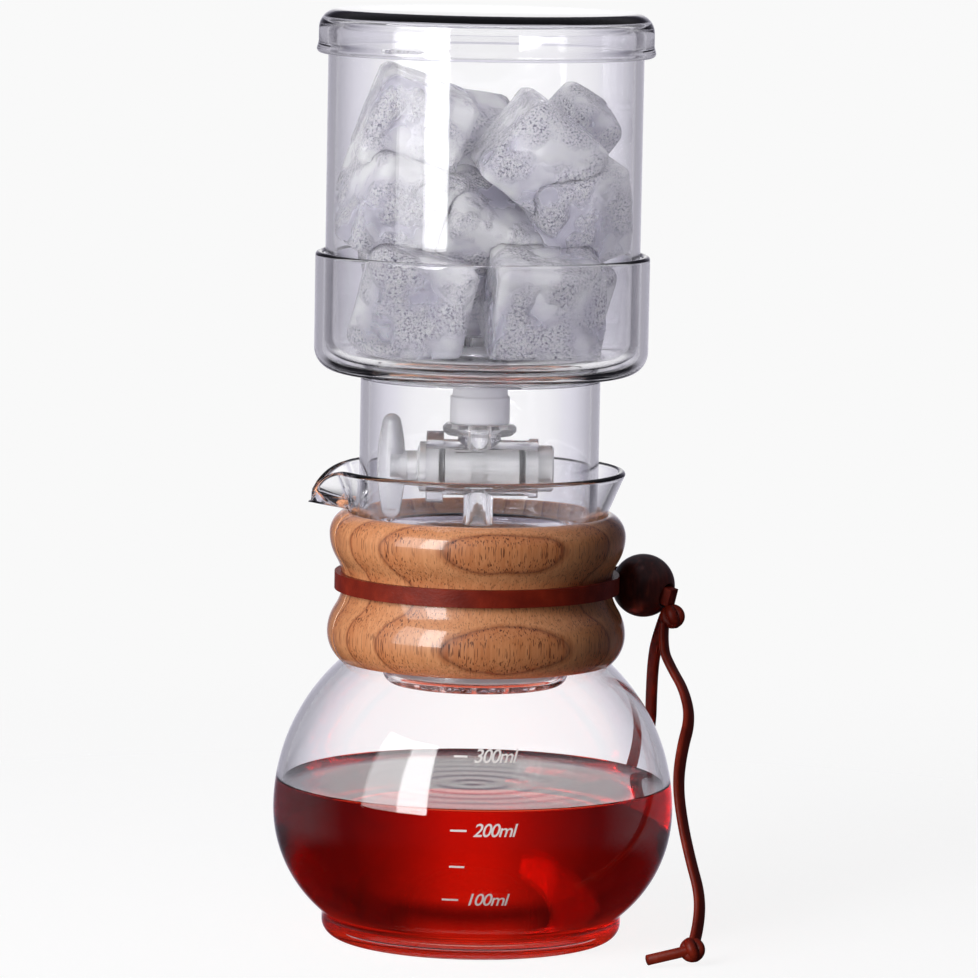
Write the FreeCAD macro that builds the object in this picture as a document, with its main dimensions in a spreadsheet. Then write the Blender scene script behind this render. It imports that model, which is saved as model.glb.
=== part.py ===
import FreeCAD, Part
import math
import os
from types import SimpleNamespace

import Sketcher
from FreeCAD import Placement, Rotation, Vector

# A cold drip coffee tower. A glass jar of ice stands in the wide tray of a brew cup and drips
# through a stopcock into it. The brew cup stands in the funnel of a spouted carafe, whose neck
# wears two wooden collar halves tied by a leather lace with a bead.
# Millimetres, +Z up, +X away from the spout, origin at the centre of the carafe's base.

SIZES = (
    ("seat_gap", 0.3, "gap left between rounded pieces that rest on each other"),
    ("fit_gap", 0.1, "radial gap of a pressed or gripped fit"),
    ("running_gap", 0.05, "radial gap of the turning plug"),
    # carafe
    ("carafe_wall", 1.8, "glass of the carafe"),
    ("bulb_radius", 51.2, "widest outside radius of the bulb"),
    ("bulb_lower_radius", 34.0, "radius of the tighter curve below the widest part"),
    ("foot_radius", 38.4, "outside radius of the foot"),
    ("foot_height", 5.01, "height of the foot's upright side"),
    ("foot_blend", 3.0, "hollow curve between the bulb and the foot"),
    ("foot_corner", 4.0, "rounded lower edge of the foot"),
    ("base_glass", 2.8, "height of the floor inside, above the table"),
    ("base_hollow", 0.8, "depth of the hollow under the base"),
    ("base_ring", 27.0, "inner radius of the ring that the carafe stands on"),
    ("neck_radius", 28.0, "outside radius of the neck"),
    ("neck_blend", 6.0, "hollow curve between the bulb and the neck"),
    ("funnel_blend", 20.0, "hollow curve between the neck and the funnel"),
    ("funnel_angle", 23.3, "slope of the funnel away from the vertical, in degrees"),
    ("funnel_width", 9.8, "how far the carafe's rim stands out of the neck"),
    # spout
    ("spout_length", 6.6, "how far the point of the spout's wedge lies outside the rim"),
    ("spout_drop", 9.5, "how far that point lies below the rim"),
    ("spout_inset", 1.0, "how far the spout's root lies inside the neck's radius"),
    ("spout_spread", 1.45, "half width of the spout per length"),
    ("spout_fall", 0.15, "fall of the spout's underside per length, towards its root"),
    ("spout_tip", 1.1, "length cut off the sharp end of the spout's wedge"),
    ("lip_curve", 9.9, "radius of the lip's drop towards the spout's tip"),
    ("lip_inset", 4.3, "how far inside the rim's radius the lip starts to drop"),
    # coffee
    ("coffee_rise", 6.2, "height of the brewed coffee above the widest part of the bulb"),
    # wooden collar
    ("collar_wall", 6.0, "wood between the neck and the waist"),
    ("collar_foot_wall", 0.5, "wood outside the glass at the lower edge"),
    ("collar_head_wall", 0.95, "wood outside the glass at the upper edge"),
    ("lower_bulge", 3.8, "how far the lower bulge stands out of the waist"),
    ("upper_bulge", 3.5, "how far the upper bulge stands out of the waist"),
    ("lower_bulge_drop", 3.2, "how far the lower edge lies inside the lower bulge"),
    ("lower_bulge_rise", 7.1, "height of the lower bulge above the collar's lower edge"),
    ("waist_rise", 12.8, "height of the waist above the lower bulge"),
    ("upper_bulge_rise", 12.4, "height of the upper bulge above the waist"),
    ("collar_head", 5.74, "height of the collar above the upper bulge"),
    ("seam_angle", 17.0, "direction of the collar's seam and of the bead, in degrees"),
    ("seam_gap", 0.5, "gap between the two collar halves"),
    # lace and bead
    ("lace_width", 4.4, "width of the leather lace"),
    ("lace_thickness", 1.7, "thickness of the leather lace"),
    ("lace_lift", 0.4, "height of the lace above the waist"),
    ("bead_radius", 8.15, "radius of the wooden bead"),
    ("bead_sag", 1.7, "how far the bead hangs below the middle of the waist"),
    ("bead_gap", 0.22, "gap between the lace's corners and the bead's hole"),
    ("bead_turn", -35.0, "direction of the bead's hole, in degrees"),
    ("bead_tilt", 15.0, "slope of the bead's hole below the horizontal, in degrees"),
    ("lace_start", 0.4, "length of the lace ends that stands out of the bead, at the collar"),
    ("lace_end", 1.3, "length of the lace ends between the bead and the knot"),
    ("knot_radius", 1.9, "radius of the ring of an overhand knot"),
    ("knot_lace", 1.35, "half thickness of the lace in a knot"),
    ("tail_radius", 1.6, "radius of a hanging tail's rolled lace"),
    # brew cup
    ("cup_wall", 2.0, "glass of the brew cup"),
    ("shoulder_step", 6.0, "how far the cup's tube stands out of its lower part"),
    ("shoulder_flat", 0.5, "part of that step outside the shoulder's rounding"),
    ("shoulder_edge", 1.5, "rounded edge where the shoulder turns down into the lower part"),
    ("cup_tube_length", 35.0, "length of the tube between the shoulder and the tray"),
    ("basket_gap", 1.7, "gap between the cup's lower part and the neck"),
    ("basket_taper", 0.9, "how much narrower the cup is at its lower end"),
    ("basket_length", 45.1, "length of the cup below the centre of its shoulder's curve"),
    ("basket_corner", 3.2, "rounded lower edge of the cup"),
    ("drip_hole", 1.1, "radius of a hole in the cup's floor"),
    ("inner_hole_circle", 7.0, "radius of the inner ring of holes"),
    ("outer_hole_circle", 14.0, "radius of the outer ring of holes"),
    ("tray_gap", 0.5, "gap between the tray and the ice jar"),
    ("tray_height", 30.4, "height of the tray"),
    ("tray_corner", 6.0, "rounded lower edge of the tray"),
    ("tray_blend", 2.0, "hollow curve between the tray and the tube"),
    ("tray_edge", 1.2, "rounded edge where the tray's floor turns down into the tube"),
    # filter
    ("screen_thickness", 0.5, "thickness of the filter's steel screen"),
    ("filter_ring_width", 2.6, "width of the ring that holds the screen"),
    ("filter_ring_height", 2.4, "height of the ring that holds the screen"),
    # ice jar
    ("jar_wall", 2.0, "glass of the ice jar"),
    ("jar_radius", 40.0, "outside radius of the ice jar"),
    ("jar_height", 86.8, "height of the ice jar"),
    ("jar_floor", 2.5, "glass of the jar's floor"),
    ("jar_corner", 6.5, "rounded lower edge of the jar"),
    ("jar_hole", 7.3, "radius of the hole in the jar's floor"),
    # lid
    ("lid_wall", 2.0, "glass of the lid's skirt"),
    ("lid_gap", 0.5, "gap between the lid's skirt and the ice jar"),
    ("lid_glass", 2.3, "glass of the lid's top"),
    ("lid_depth", 11.2, "height of the lid"),
    ("lid_corner", 5.0, "rounded upper edge of the lid"),
    ("lid_inner_corner", 1.5, "rounding inside the lid's upper edge"),
    ("lid_bead", 0.45, "how far the bead at the skirt's end stands out"),
    ("lid_bead_height", 3.0, "height of that bead"),
    # rubber plug in the jar's floor
    ("plug_overlap", 3.2, "how far the plug's two flanges reach beyond the jar's hole"),
    ("plug_flange_height", 2.0, "thickness of a flange"),
    ("plug_neck", 7.0, "radius of the plug below the lower flange"),
    ("plug_step", 7.6, "radius of the plug's lowest part"),
    ("plug_neck_length", 6.2, "length of the neck"),
    ("plug_step_length", 6.9, "length of the lowest part"),
    # stopcock
    ("inlet_radius", 4.4, "outside radius of the stopcock's inlet tube"),
    ("inlet_bore", 2.2, "radius of the passage through the stopcock"),
    ("disc_radius", 9.4, "radius of the disc below the plug"),
    ("disc_height", 2.9, "thickness of that disc"),
    ("disc_edge", 0.9, "sloped edge of that disc"),
    ("hub_radius", 5.5, "outside radius of the passage between the disc and the barrel"),
    ("inlet_rise", 2.2, "how far the inlet tube stands out of the plug, inside the jar"),
    ("barrel_radius", 6.95, "outside radius of the stopcock's barrel"),
    ("barrel_right", 15.0, "length of the barrel on the cap's side"),
    ("cheek_radius", 9.0, "radius of the flange on the lever's side"),
    ("cheek_width", 4.4, "width of that flange"),
    ("barrel_drop", 11.2, "depth of the barrel's axis below the disc's top"),
    ("band_radius", 7.4, "radius of the band at the barrel's end"),
    ("band_width", 2.4, "width of that band"),
    ("nozzle_radius", 3.8, "outside radius of the nozzle"),
    ("nozzle_length", 15.3, "length of the nozzle below the barrel's axis"),
    ("cock_radius", 4.6, "radius of the turning plug"),
    ("cock_collar", 6.3, "radius of the turning plug's shoulder"),
    ("cock_collar_width", 1.6, "width of that shoulder"),
    ("cock_neck", 3.9, "radius of the neck between the shoulder and the lever"),
    ("cock_neck_length", 2.25, "length of that neck"),
    ("seal_thickness", 0.75, "half thickness of a sealing ring"),
    ("seal_inset", 3.8, "distance of a sealing ring from the barrel's end"),
    ("cap_radius", 5.75, "radius of the retaining cap"),
    ("cap_width", 3.9, "width of the retaining cap"),
    ("cap_edge", 0.5, "sloped edge of the retaining cap"),
    ("spigot_radius", 2.8, "radius of the spigots that hold the lever and the cap"),
    ("spigot_length", 2.9, "length of the spigot inside the cap"),
    ("cock_taper", 0.8, "length of the slope between the shoulder and its neck"),
    ("boss_length", 4.2, "length of the lever's boss, from the lever's own axis"),
    ("boss_root", 3.3, "radius of the boss at the lever's own axis"),
    ("lever_gap", 2.4, "gap between the lever and the cup's tube"),
    ("lever_length", 26.6, "length of the lever"),
    ("lever_radius", 3.7, "half thickness of the lever in the middle"),
    ("lever_end_radius", 2.5, "half thickness of the lever near its ends"),
    # ice
    ("ice_edge", 27.0, "edge of an ice cube"),
    ("ice_chamfer", 2.0, "melted edge of an ice cube"),
)

# Ice cubes from the bottom up: x, y and height above the jar's floor, counted in whole edges,
# the scale of the edge, and the turn about an axis along (x, y, z). A cube keeps clear of the
# ones before it.
ICE = (
    ((-0.63, -0.556, 0.5), 1.00, (0.2, 0.9, 0.3), 14.0),
    ((0.556, -0.593, 0.519), 1.00, (0.9, 0.2, 0.4), 22.0),
    ((0.593, 0.556, 0.5), 1.00, (0.3, 0.5, 0.9), 35.0),
    ((-0.593, 0.593, 0.519), 1.00, (0.7, -0.4, 0.5), 28.0),
    ((0.0, -0.111, 1.111), 0.92, (0.8, 0.5, 0.2), 41.0),
    ((-0.815, -0.222, 1.407), 0.96, (0.2, 0.6, 0.8), 33.0),
    ((0.778, -0.148, 1.407), 0.94, (0.6, -0.3, 0.7), 38.0),
    ((-0.074, 0.815, 1.333), 0.94, (0.5, 0.8, 0.1), 25.0),
    ((0.5, -0.333, 1.889), 0.90, (0.15, 1.0, 0.35), 40.0),
    ((-0.667, -0.148, 2.13), 0.92, (0.3, 1.0, 0.45), 24.0),
    ((0.889, 0.519, 2.111), 0.62, (0.5, 0.7, 0.6), 52.0),
    ((-0.148, 0.444, 2.0), 0.72, (0.9, 0.3, 0.2), 37.0),
)

# Routes of the two hanging tails, from the knot to the last knot, chosen by hand.
FRONT_TAIL = (
    (48.3, 7.0, 80.7), (47.9, 6.2, 74.4), (50.3, 4.4, 69.4), (53.6, 1.4, 64.2), (55.2, -3.4, 57.6),
    (53.0, -9.6, 50.6), (51.9, -15.4, 42.4), (53.2, -20.6, 33.2), (55.3, -25.2, 24.6),
    (57.7, -29.6, 16.6), (57.4, -33.4, 9.6), (56.2, -36.2, 5.6),
)
BACK_TAIL = (
    (48.6, 10.2, 81.7), (46.6, 12.6, 75.2), (45.9, 16.4, 68.6), (45.8, 20.8, 60.4), (45.9, 25.8, 52.6),
    (44.8, 31.0, 44.8), (42.6, 35.4, 36.8), (40.3, 38.9, 28.8),
)
# Where the lace is cut off, from the middle of the last knot.
FRONT_END = (-11.3, -4.5, -2.0)
BACK_END = (-2.2, 2.6, -8.0)
# Share of a run that the arc at its end takes up.
BEND_SHARE = 0.45
# How far the two rings of a knot lean, and how the knots are turned, in degrees.
KNOT_LEAN = 65
TIE_TURN = 20
END_TURN = 35


class Size:
    """A number and the sheet formula that gives it, so that one line draws and binds a form."""

    def __init__(self, value, text):
        self.value = float(value)
        self.text = text

    def __add__(self, other):
        other = as_size(other)
        return Size(self.value + other.value, f"({self.text} + {other.text})")

    def __sub__(self, other):
        other = as_size(other)
        return Size(self.value - other.value, f"({self.text} - {other.text})")

    def __mul__(self, other):
        other = as_size(other)
        return Size(self.value * other.value, f"({self.text} * {other.text})")

    def __truediv__(self, other):
        other = as_size(other)
        return Size(self.value / other.value, f"({self.text} / {other.text})")

    def __neg__(self):
        return Size(-self.value, f"(-1 * {self.text})")

    def __radd__(self, other):
        return as_size(other) + self

    def __rsub__(self, other):
        return as_size(other) - self

    def __rmul__(self, other):
        return as_size(other) * self


def as_size(number):
    if isinstance(number, Size):
        return number
    return Size(number, repr(float(number)))


def root(size):
    return Size(math.sqrt(size.value), f"sqrt({size.text})")


def sine(angle):
    return Size(math.sin(math.radians(angle.value)), f"sin({angle.text})")


def cosine(angle):
    return Size(math.cos(math.radians(angle.value)), f"cos({angle.text})")


doc = FreeCAD.newDocument("ColdDripTower")
sheet = doc.addObject("Spreadsheet::Sheet", "Sizes")
for row, (alias, value, note) in enumerate(SIZES, start=1):
    sheet.set(f"A{row}", alias)
    sheet.set(f"B{row}", str(value))
    sheet.setAlias(f"B{row}", alias)
    sheet.set(f"C{row}", note)
doc.recompute()
s = SimpleNamespace(**{alias: Size(value, f"Sizes.{alias}") for alias, value, note in SIZES})
pieces = []


# ---- helpers ----------------------------------------------------------------------------------
def bind(item, field, size):
    """Ties one field of an object to the sheet."""
    item.setExpression(field, as_size(size).text)


def place(item, x=0, y=0, z=0, turn=None, about=Vector(0, 0, 1)):
    """Moves an object by sizes, and turns it by an angle about an axis through its origin."""
    if turn is not None:
        item.Placement = Placement(Vector(), Rotation(about, 90))
        bind(item, "Placement.Rotation.Angle", turn)
    for field, size in (("x", x), ("y", y), ("z", z)):
        if isinstance(size, Size):
            bind(item, f"Placement.Base.{field}", size)


def new_body(name, **at):
    body = doc.addObject("PartDesign::Body", name)
    body.Label = name
    place(body, **at)
    return body


def keep(item):
    """Marks an object as a finished piece of the tower."""
    pieces.append(item)
    return item


def origin_plane(body, role):
    return next(item for item in body.Origin.OriginFeatures if item.Role == role)


def arc_between(first, last, radius, turn):
    """The short arc from first to last: turn is 1 for anticlockwise and -1 for clockwise."""
    chord = last - first
    middle = (first + last) * 0.5
    height = math.sqrt(max(radius ** 2 - (chord.Length / 2) ** 2, 0))
    centre = middle + Vector(-chord.y, chord.x, 0).normalize() * height * turn
    angles = [math.atan2(p.y - centre.y, p.x - centre.x) for p in (first, last)]
    if turn < 0:
        angles.reverse()
    if angles[1] < angles[0]:
        angles[1] += 2 * math.pi
    return Part.ArcOfCircle(Part.Circle(centre, Vector(0, 0, 1), radius), *angles)


def new_sketch(body, name, plane, lift=None):
    """An empty sketch on an origin plane, or lifted off it."""
    sketch = body.newObject("Sketcher::SketchObject", name)
    sketch.AttachmentSupport = (origin_plane(body, plane), "")
    sketch.MapMode = "FlatFace"
    if lift is not None:
        bind(sketch, "AttachmentOffset.Base.z", lift)
    return sketch


def outline(body, name, corners, plane="XZ_Plane", lift=None):
    """A closed sketch. A corner is (x, y), or (x, y, radius, turn) where an arc leads to it."""
    sketch = new_sketch(body, name, plane, lift)
    corners = [tuple(as_size(number) for number in corner) for corner in corners]
    points = [Vector(corner[0].value, corner[1].value, 0) for corner in corners]
    ends = []
    for number, corner in enumerate(corners):
        first, last = points[number - 1], points[number]
        if len(corner) == 2:
            sketch.addGeometry(Part.LineSegment(first, last), False)
            ends.append((1, 2))
        else:
            turn = corner[3].value
            sketch.addGeometry(arc_between(first, last, corner[2].value, turn), False)
            ends.append((1, 2) if turn > 0 else (2, 1))
    for number, corner in enumerate(corners):
        following = (number + 1) % len(corners)
        sketch.addConstraint(
            Sketcher.Constraint("Coincident", number, ends[number][1], following, ends[following][0])
        )
        for kind, axis, size in (("DistanceX", -2, corner[0]), ("DistanceY", -1, corner[1])):
            if size.value == 0:
                sketch.addConstraint(
                    Sketcher.Constraint("PointOnObject", number, ends[number][1], axis)
                )
                continue
            added = sketch.addConstraint(
                Sketcher.Constraint(kind, -1, 1, number, ends[number][1], size.value)
            )
            sketch.setExpression(f"Constraints[{added}]", size.text)
        if len(corner) == 4:
            added = sketch.addConstraint(Sketcher.Constraint("Radius", number, corner[2].value))
            sketch.setExpression(f"Constraints[{added}]", corner[2].text)
    return sketch


def circle_sketch(body, name, radius, x=0, y=0, plane="XY_Plane", lift=None):
    """A sketch of one circle."""
    sketch = new_sketch(body, name, plane, lift)
    x, y, radius = as_size(x), as_size(y), as_size(radius)
    centre = Vector(x.value, y.value, 0)
    sketch.addGeometry(Part.Circle(centre, Vector(0, 0, 1), radius.value), False)
    for kind, axis, size in (("DistanceX", -2, x), ("DistanceY", -1, y)):
        if size.value == 0:
            sketch.addConstraint(Sketcher.Constraint("PointOnObject", 0, 3, axis))
        else:
            added = sketch.addConstraint(Sketcher.Constraint(kind, -1, 1, 0, 3, size.value))
            sketch.setExpression(f"Constraints[{added}]", size.text)
    added = sketch.addConstraint(Sketcher.Constraint("Radius", 0, radius.value))
    sketch.setExpression(f"Constraints[{added}]", radius.text)
    return sketch


def turn_about(body, sketch, axis="V_Axis", cut=False, angle=360):
    """Revolves a sketch about one of its own axes, to add or to cut."""
    kind = "PartDesign::Groove" if cut else "PartDesign::Revolution"
    feature = body.newObject(kind, sketch.Name + "Turned")
    feature.Profile = sketch
    feature.ReferenceAxis = (sketch, [axis])
    feature.Midplane = isinstance(angle, Size)
    if isinstance(angle, Size):
        bind(feature, "Angle", angle)
    else:
        feature.Angle = angle
    body.Tip = feature
    return feature


def turned_body(name, corners, axis="V_Axis", **at):
    body = new_body(name, **at)
    turn_about(body, outline(body, name + "Outline", corners), axis)
    return body


def drilled(body, sketch, length):
    """Cuts a sketch through the body, the same way on both sides of its plane."""
    pocket = body.newObject("PartDesign::Pocket", sketch.Name + "Cut")
    pocket.Profile = sketch
    pocket.Midplane = True
    bind(pocket, "Length", length)
    body.Tip = pocket
    return pocket


def ring_of(body, feature, count):
    """Repeats a feature round the body's upright axis."""
    pattern = body.newObject("PartDesign::PolarPattern", feature.Name + "Ring")
    pattern.Originals = [feature]
    pattern.Axis = (origin_plane(body, "Z_Axis"), [""])
    pattern.Angle = 360
    pattern.Occurrences = count
    body.Tip = pattern
    return pattern


def combined(kind, name, base, tool):
    """A Part::Cut, Part::Common or Part::Fuse of two objects."""
    item = doc.addObject(kind, name)
    item.Base = base
    item.Tool = tool
    item.Label = name
    return item


def quarter(x, z, radius, turn=1):
    return (x, z, radius, turn)


none = as_size(0)


# ---- carafe -----------------------------------------------------------------------------------
slope_sine, slope_cosine = sine(s.funnel_angle), cosine(s.funnel_angle)
slope = slope_sine / slope_cosine
rim_radius = s.neck_radius + s.funnel_width
# The widest part of the bulb stands over the foot, and the neck over the bulb.
lower_centre = s.bulb_radius - s.bulb_lower_radius
foot_blend_x = s.foot_radius + s.foot_blend
foot_reach = s.bulb_lower_radius + s.foot_blend
bulb_centre = s.foot_height + root(
    foot_reach * foot_reach - (foot_blend_x - lower_centre) * (foot_blend_x - lower_centre)
)
neck_blend_x = s.neck_radius + s.neck_blend
neck_reach = s.bulb_radius + s.neck_blend
neck_blend_z = bulb_centre + root(neck_reach * neck_reach - neck_blend_x * neck_blend_x)
# The collar stands on the bulb, and the neck is as long as the collar needs under the spout.
waist_radius = s.neck_radius + s.seat_gap + s.collar_wall
lower_bulge_radius = waist_radius + s.lower_bulge
upper_bulge_radius = waist_radius + s.upper_bulge
lower_edge_radius = lower_bulge_radius - s.lower_bulge_drop
collar_inner_foot = lower_edge_radius - s.collar_foot_wall
hugged_bulb = s.bulb_radius + s.seat_gap
collar_bottom = bulb_centre + root(hugged_bulb * hugged_bulb - collar_inner_foot * collar_inner_foot)
lower_bulge_height = collar_bottom + s.lower_bulge_rise
waist_height = lower_bulge_height + s.waist_rise
upper_bulge_height = waist_height + s.upper_bulge_rise
collar_top = upper_bulge_height + s.collar_head
spout_reach = rim_radius + s.spout_length
collar_edge_at_rim = rim_radius + s.seat_gap / slope_cosine + s.collar_head_wall
rim_over_collar = (s.seat_gap + s.spout_drop + (spout_reach - collar_edge_at_rim) * s.spout_fall) / (
    1 - slope * s.spout_fall
)
upper_edge_radius = collar_edge_at_rim - rim_over_collar * slope
rim_height = collar_top + rim_over_collar
funnel_start = (
    rim_height
    - (rim_radius - s.neck_radius - s.funnel_blend * (1 - slope_cosine)) / slope
    - s.funnel_blend * slope_sine
)


def lower_side(inset):
    """From the end of the foot's corner to the widest part, inset from the outer surface."""
    share = (s.foot_blend + inset) / foot_reach
    return [
        (s.foot_radius - inset, s.foot_height),
        (
            foot_blend_x + (lower_centre - foot_blend_x) * share,
            s.foot_height + (bulb_centre - s.foot_height) * share,
            s.foot_blend + inset,
            -1,
        ),
        (s.bulb_radius - inset, bulb_centre, s.bulb_lower_radius - inset, 1),
    ]


def neck_side(inset):
    """From the top of the bulb's curve up the neck to the start of the funnel's straight."""
    share = (s.bulb_radius - inset) / neck_reach
    flare = s.funnel_blend + inset
    return [
        (
            neck_blend_x * share,
            bulb_centre + (neck_blend_z - bulb_centre) * share,
            s.bulb_radius - inset,
            1,
        ),
        (s.neck_radius - inset, neck_blend_z, s.neck_blend + inset, -1),
        (s.neck_radius - inset, funnel_start),
        (
            s.neck_radius + s.funnel_blend - flare * slope_cosine,
            funnel_start + flare * slope_sine,
            flare,
            -1,
        ),
    ]


def funnel_radius(inset, height):
    inset = as_size(inset)
    return rim_radius - inset / slope_cosine - (rim_height - height) * slope


def spout_wedge(name, inset):
    """A trough that widens from the spout's tip to its root, inset from the outer surface."""
    body = new_body(name)
    sections = []
    for end, reach in (("Tip", spout_reach - s.spout_tip), ("Root", s.neck_radius - s.spout_inset)):
        along = spout_reach - reach
        half = along * s.spout_spread
        low = rim_height - s.spout_drop - along * s.spout_fall + inset
        top = rim_height + over_rim
        section = outline(
            body,
            name + end,
            [(half, top), (-half, top), (-half, low + half), (0, low, half, 1),
             (half, low + half, half, 1)],
            plane="YZ_Plane",
            lift=inset * spout_pull - reach,
        )
        sections.append(section)
    wedge = body.newObject("PartDesign::AdditiveLoft", name + "Loft")
    wedge.Profile = sections[0]
    wedge.Sections = sections[1:]
    wedge.Ruled = True
    body.Tip = wedge
    return body


# The glass is first made too high, and the lip's shape then trims it.
over_rim = s.funnel_width
spout_pull = root(1 + s.spout_spread * s.spout_spread) / s.spout_spread
carafe_outside = turned_body(
    "CarafeOutside",
    [(0, s.base_hollow), (s.base_ring, s.base_hollow), (s.base_ring + s.base_hollow, 0),
     (s.foot_radius - s.foot_corner, 0),
     quarter(s.foot_radius, s.foot_corner, s.foot_corner)]
    + lower_side(0) + neck_side(0)
    + [(funnel_radius(0, rim_height + over_rim), rim_height + over_rim),
       (0, rim_height + over_rim)],
)
inner_corner = s.foot_height - s.base_glass
carafe_inside = turned_body(
    "CarafeInside",
    [(0, s.base_glass), (s.foot_radius - s.carafe_wall - inner_corner, s.base_glass),
     quarter(s.foot_radius - s.carafe_wall, s.foot_height, inner_corner)]
    + lower_side(s.carafe_wall)[1:] + neck_side(s.carafe_wall)
    + [(funnel_radius(s.carafe_wall, rim_height + over_rim), rim_height + over_rim),
       (0, rim_height + over_rim)],
)
carafe_solid = combined(
    "Part::Fuse", "CarafeSolid", carafe_outside, spout_wedge("SpoutOutside", as_size(0))
)
carafe_space = combined(
    "Part::Fuse",
    "CarafeSpace",
    carafe_inside,
    spout_wedge("SpoutInside", s.carafe_wall),
)
# The rim is level and drops in a curve to the spout's tip.
lip = new_body("Lip")
lip_start = rim_radius - s.lip_inset
lip_far = s.bulb_radius * 2
lip_side = s.lip_curve - s.spout_drop
lip_end = root(s.lip_curve * s.lip_curve - lip_side * lip_side)
lip_pad = lip.newObject("PartDesign::Pad", "LipPad")
lip_pad.Profile = outline(
    lip,
    "LipOutline",
    [(lip_far, -lip_far), (lip_far, rim_height), (-lip_start, rim_height),
     (-lip_start - lip_end, rim_height - s.spout_drop, s.lip_curve, 1),
     (-lip_far, rim_height - s.spout_drop), (-lip_far, -lip_far)],
)
lip_pad.Midplane = True
bind(lip_pad, "Length", lip_far * 2)
lip.Tip = lip_pad
carafe_walls = combined("Part::Cut", "CarafeWalls", carafe_solid, carafe_space)
carafe = combined("Part::Common", "Carafe", carafe_walls, lip)


def lengths_of(item, cuts):
    """Keeps an upright glass as lengths that meet at flat cuts, where its wall is upright."""
    for name, low, high in cuts:
        slab = doc.addObject("Part::Box", name + "Slab")
        bind(slab, "Length", lip_far * 2)
        bind(slab, "Width", lip_far * 2)
        bind(slab, "Height", high - low)
        place(slab, x=-lip_far, y=-lip_far, z=low)
        keep(combined("Part::Common", name, item, slab))


lengths_of(carafe, (
    ("carafe_base", none, bulb_centre),
    ("carafe_bulb", bulb_centre, neck_blend_z),
    ("carafe_neck", neck_blend_z, rim_height + over_rim),
))

# The coffee fills the bulb to its level, a seat's gap inside the glass.
coffee_inset = s.carafe_wall + s.seat_gap
coffee_corner = inner_corner - s.seat_gap
coffee_level = bulb_centre + s.coffee_rise
coffee_radius = s.bulb_radius - coffee_inset
keep(turned_body(
    "brewed_coffee",
    [(0, s.base_glass + s.seat_gap),
     (s.foot_radius - coffee_inset - coffee_corner, s.base_glass + s.seat_gap),
     quarter(s.foot_radius - coffee_inset, s.foot_height, coffee_corner)]
    + lower_side(coffee_inset)[1:]
    + [(root(coffee_radius * coffee_radius - s.coffee_rise * s.coffee_rise), coffee_level, coffee_radius, 1),
       (0, coffee_level)],
))


# ---- wooden collar ----------------------------------------------------------------------------
def bow(depth, height):
    """Radius of the arc that swings out by depth over height, with its end upright."""
    return (depth * depth + height * height) / (2 * depth)


# The two bulges flow into the waist in pairs of arcs that meet halfway.
lower_middle = (lower_bulge_height + waist_height) / 2
lower_half = (lower_bulge_radius + waist_radius) / 2
lower_bow = bow(lower_bulge_radius - lower_half, lower_middle - lower_bulge_height)
upper_middle = (upper_bulge_height + waist_height) / 2
upper_half = (upper_bulge_radius + waist_radius) / 2
upper_bow = bow(upper_bulge_radius - upper_half, upper_middle - waist_height)
foot_bow = bow(s.lower_bulge_drop, s.lower_bulge_rise)
head_bow = bow(upper_bulge_radius - upper_edge_radius, s.collar_head)


def collar_corners():
    """The collar's section: the outer side upwards, then the inner side that hugs the glass."""
    inset = -s.seat_gap
    hug = neck_side(inset)
    return [
        (collar_inner_foot, collar_bottom, hugged_bulb, -1),
        (lower_edge_radius, collar_bottom),
        (lower_bulge_radius, lower_bulge_height, foot_bow, 1),
        (lower_half, lower_middle, lower_bow, 1),
        (waist_radius, waist_height, lower_bow, -1),
        (upper_half, upper_middle, upper_bow, -1),
        (upper_bulge_radius, upper_bulge_height, upper_bow, 1),
        (upper_edge_radius, collar_top, head_bow, 1),
        (funnel_radius(inset, collar_top), collar_top),
        hug[3][:2],
        (hug[2][0], hug[2][1], s.funnel_blend + inset, 1),
        (hug[1][0], hug[1][1]),
        (hug[0][0], hug[0][1], s.neck_blend + inset, 1),
    ]


# Each half is a half turn of the section, less the seam's gap.
half_turn = 180 - s.seam_gap / waist_radius * (180 / math.pi)
for name, side in (("collar_front", -90), ("collar_back", 90)):
    half = new_body(name, turn=s.seam_angle + side)
    turn_about(half, outline(half, name + "Outline", collar_corners()), angle=half_turn)
    keep(half)


# ---- lace, bead and knots ---------------------------------------------------------------------
# The flat lace touches the hollow waist with its upper edge.
lace_edge = s.lace_lift + s.lace_width / 2
lace_inside = waist_radius + upper_bow - root(upper_bow * upper_bow - lace_edge * lace_edge) + s.fit_gap
lace_outside = lace_inside + s.lace_thickness
lace_low = waist_height + s.lace_lift - s.lace_width / 2
bead_reach = lace_outside + s.seat_gap + s.bead_radius
bead_x = bead_reach * cosine(s.seam_angle)
bead_y = bead_reach * sine(s.seam_angle)
lace_ring = turned_body(
    "LaceRing",
    [(lace_inside, lace_low), (lace_outside, lace_low),
     (lace_outside, lace_low + s.lace_width), (lace_inside, lace_low + s.lace_width)],
)


# The bead's hole points out from the collar and down, so it is placed by numbers.
hole_turn = Rotation(Vector(0, 0, 1), s.bead_turn.value)
hole_turn = hole_turn * Rotation(Vector(0, 1, 0), 90 + s.bead_tilt.value)
bead_centre = Vector(bead_x.value, bead_y.value, (waist_height - s.bead_sag).value)


def on_hole(item, across, beside, back):
    """Places a primitive on the bead's hole: its corner or centre lies that far back."""
    corner = hole_turn.multVec(Vector(across.value, beside.value, back.value))
    item.Placement = Placement(bead_centre - corner, hole_turn)
    return item


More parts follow.
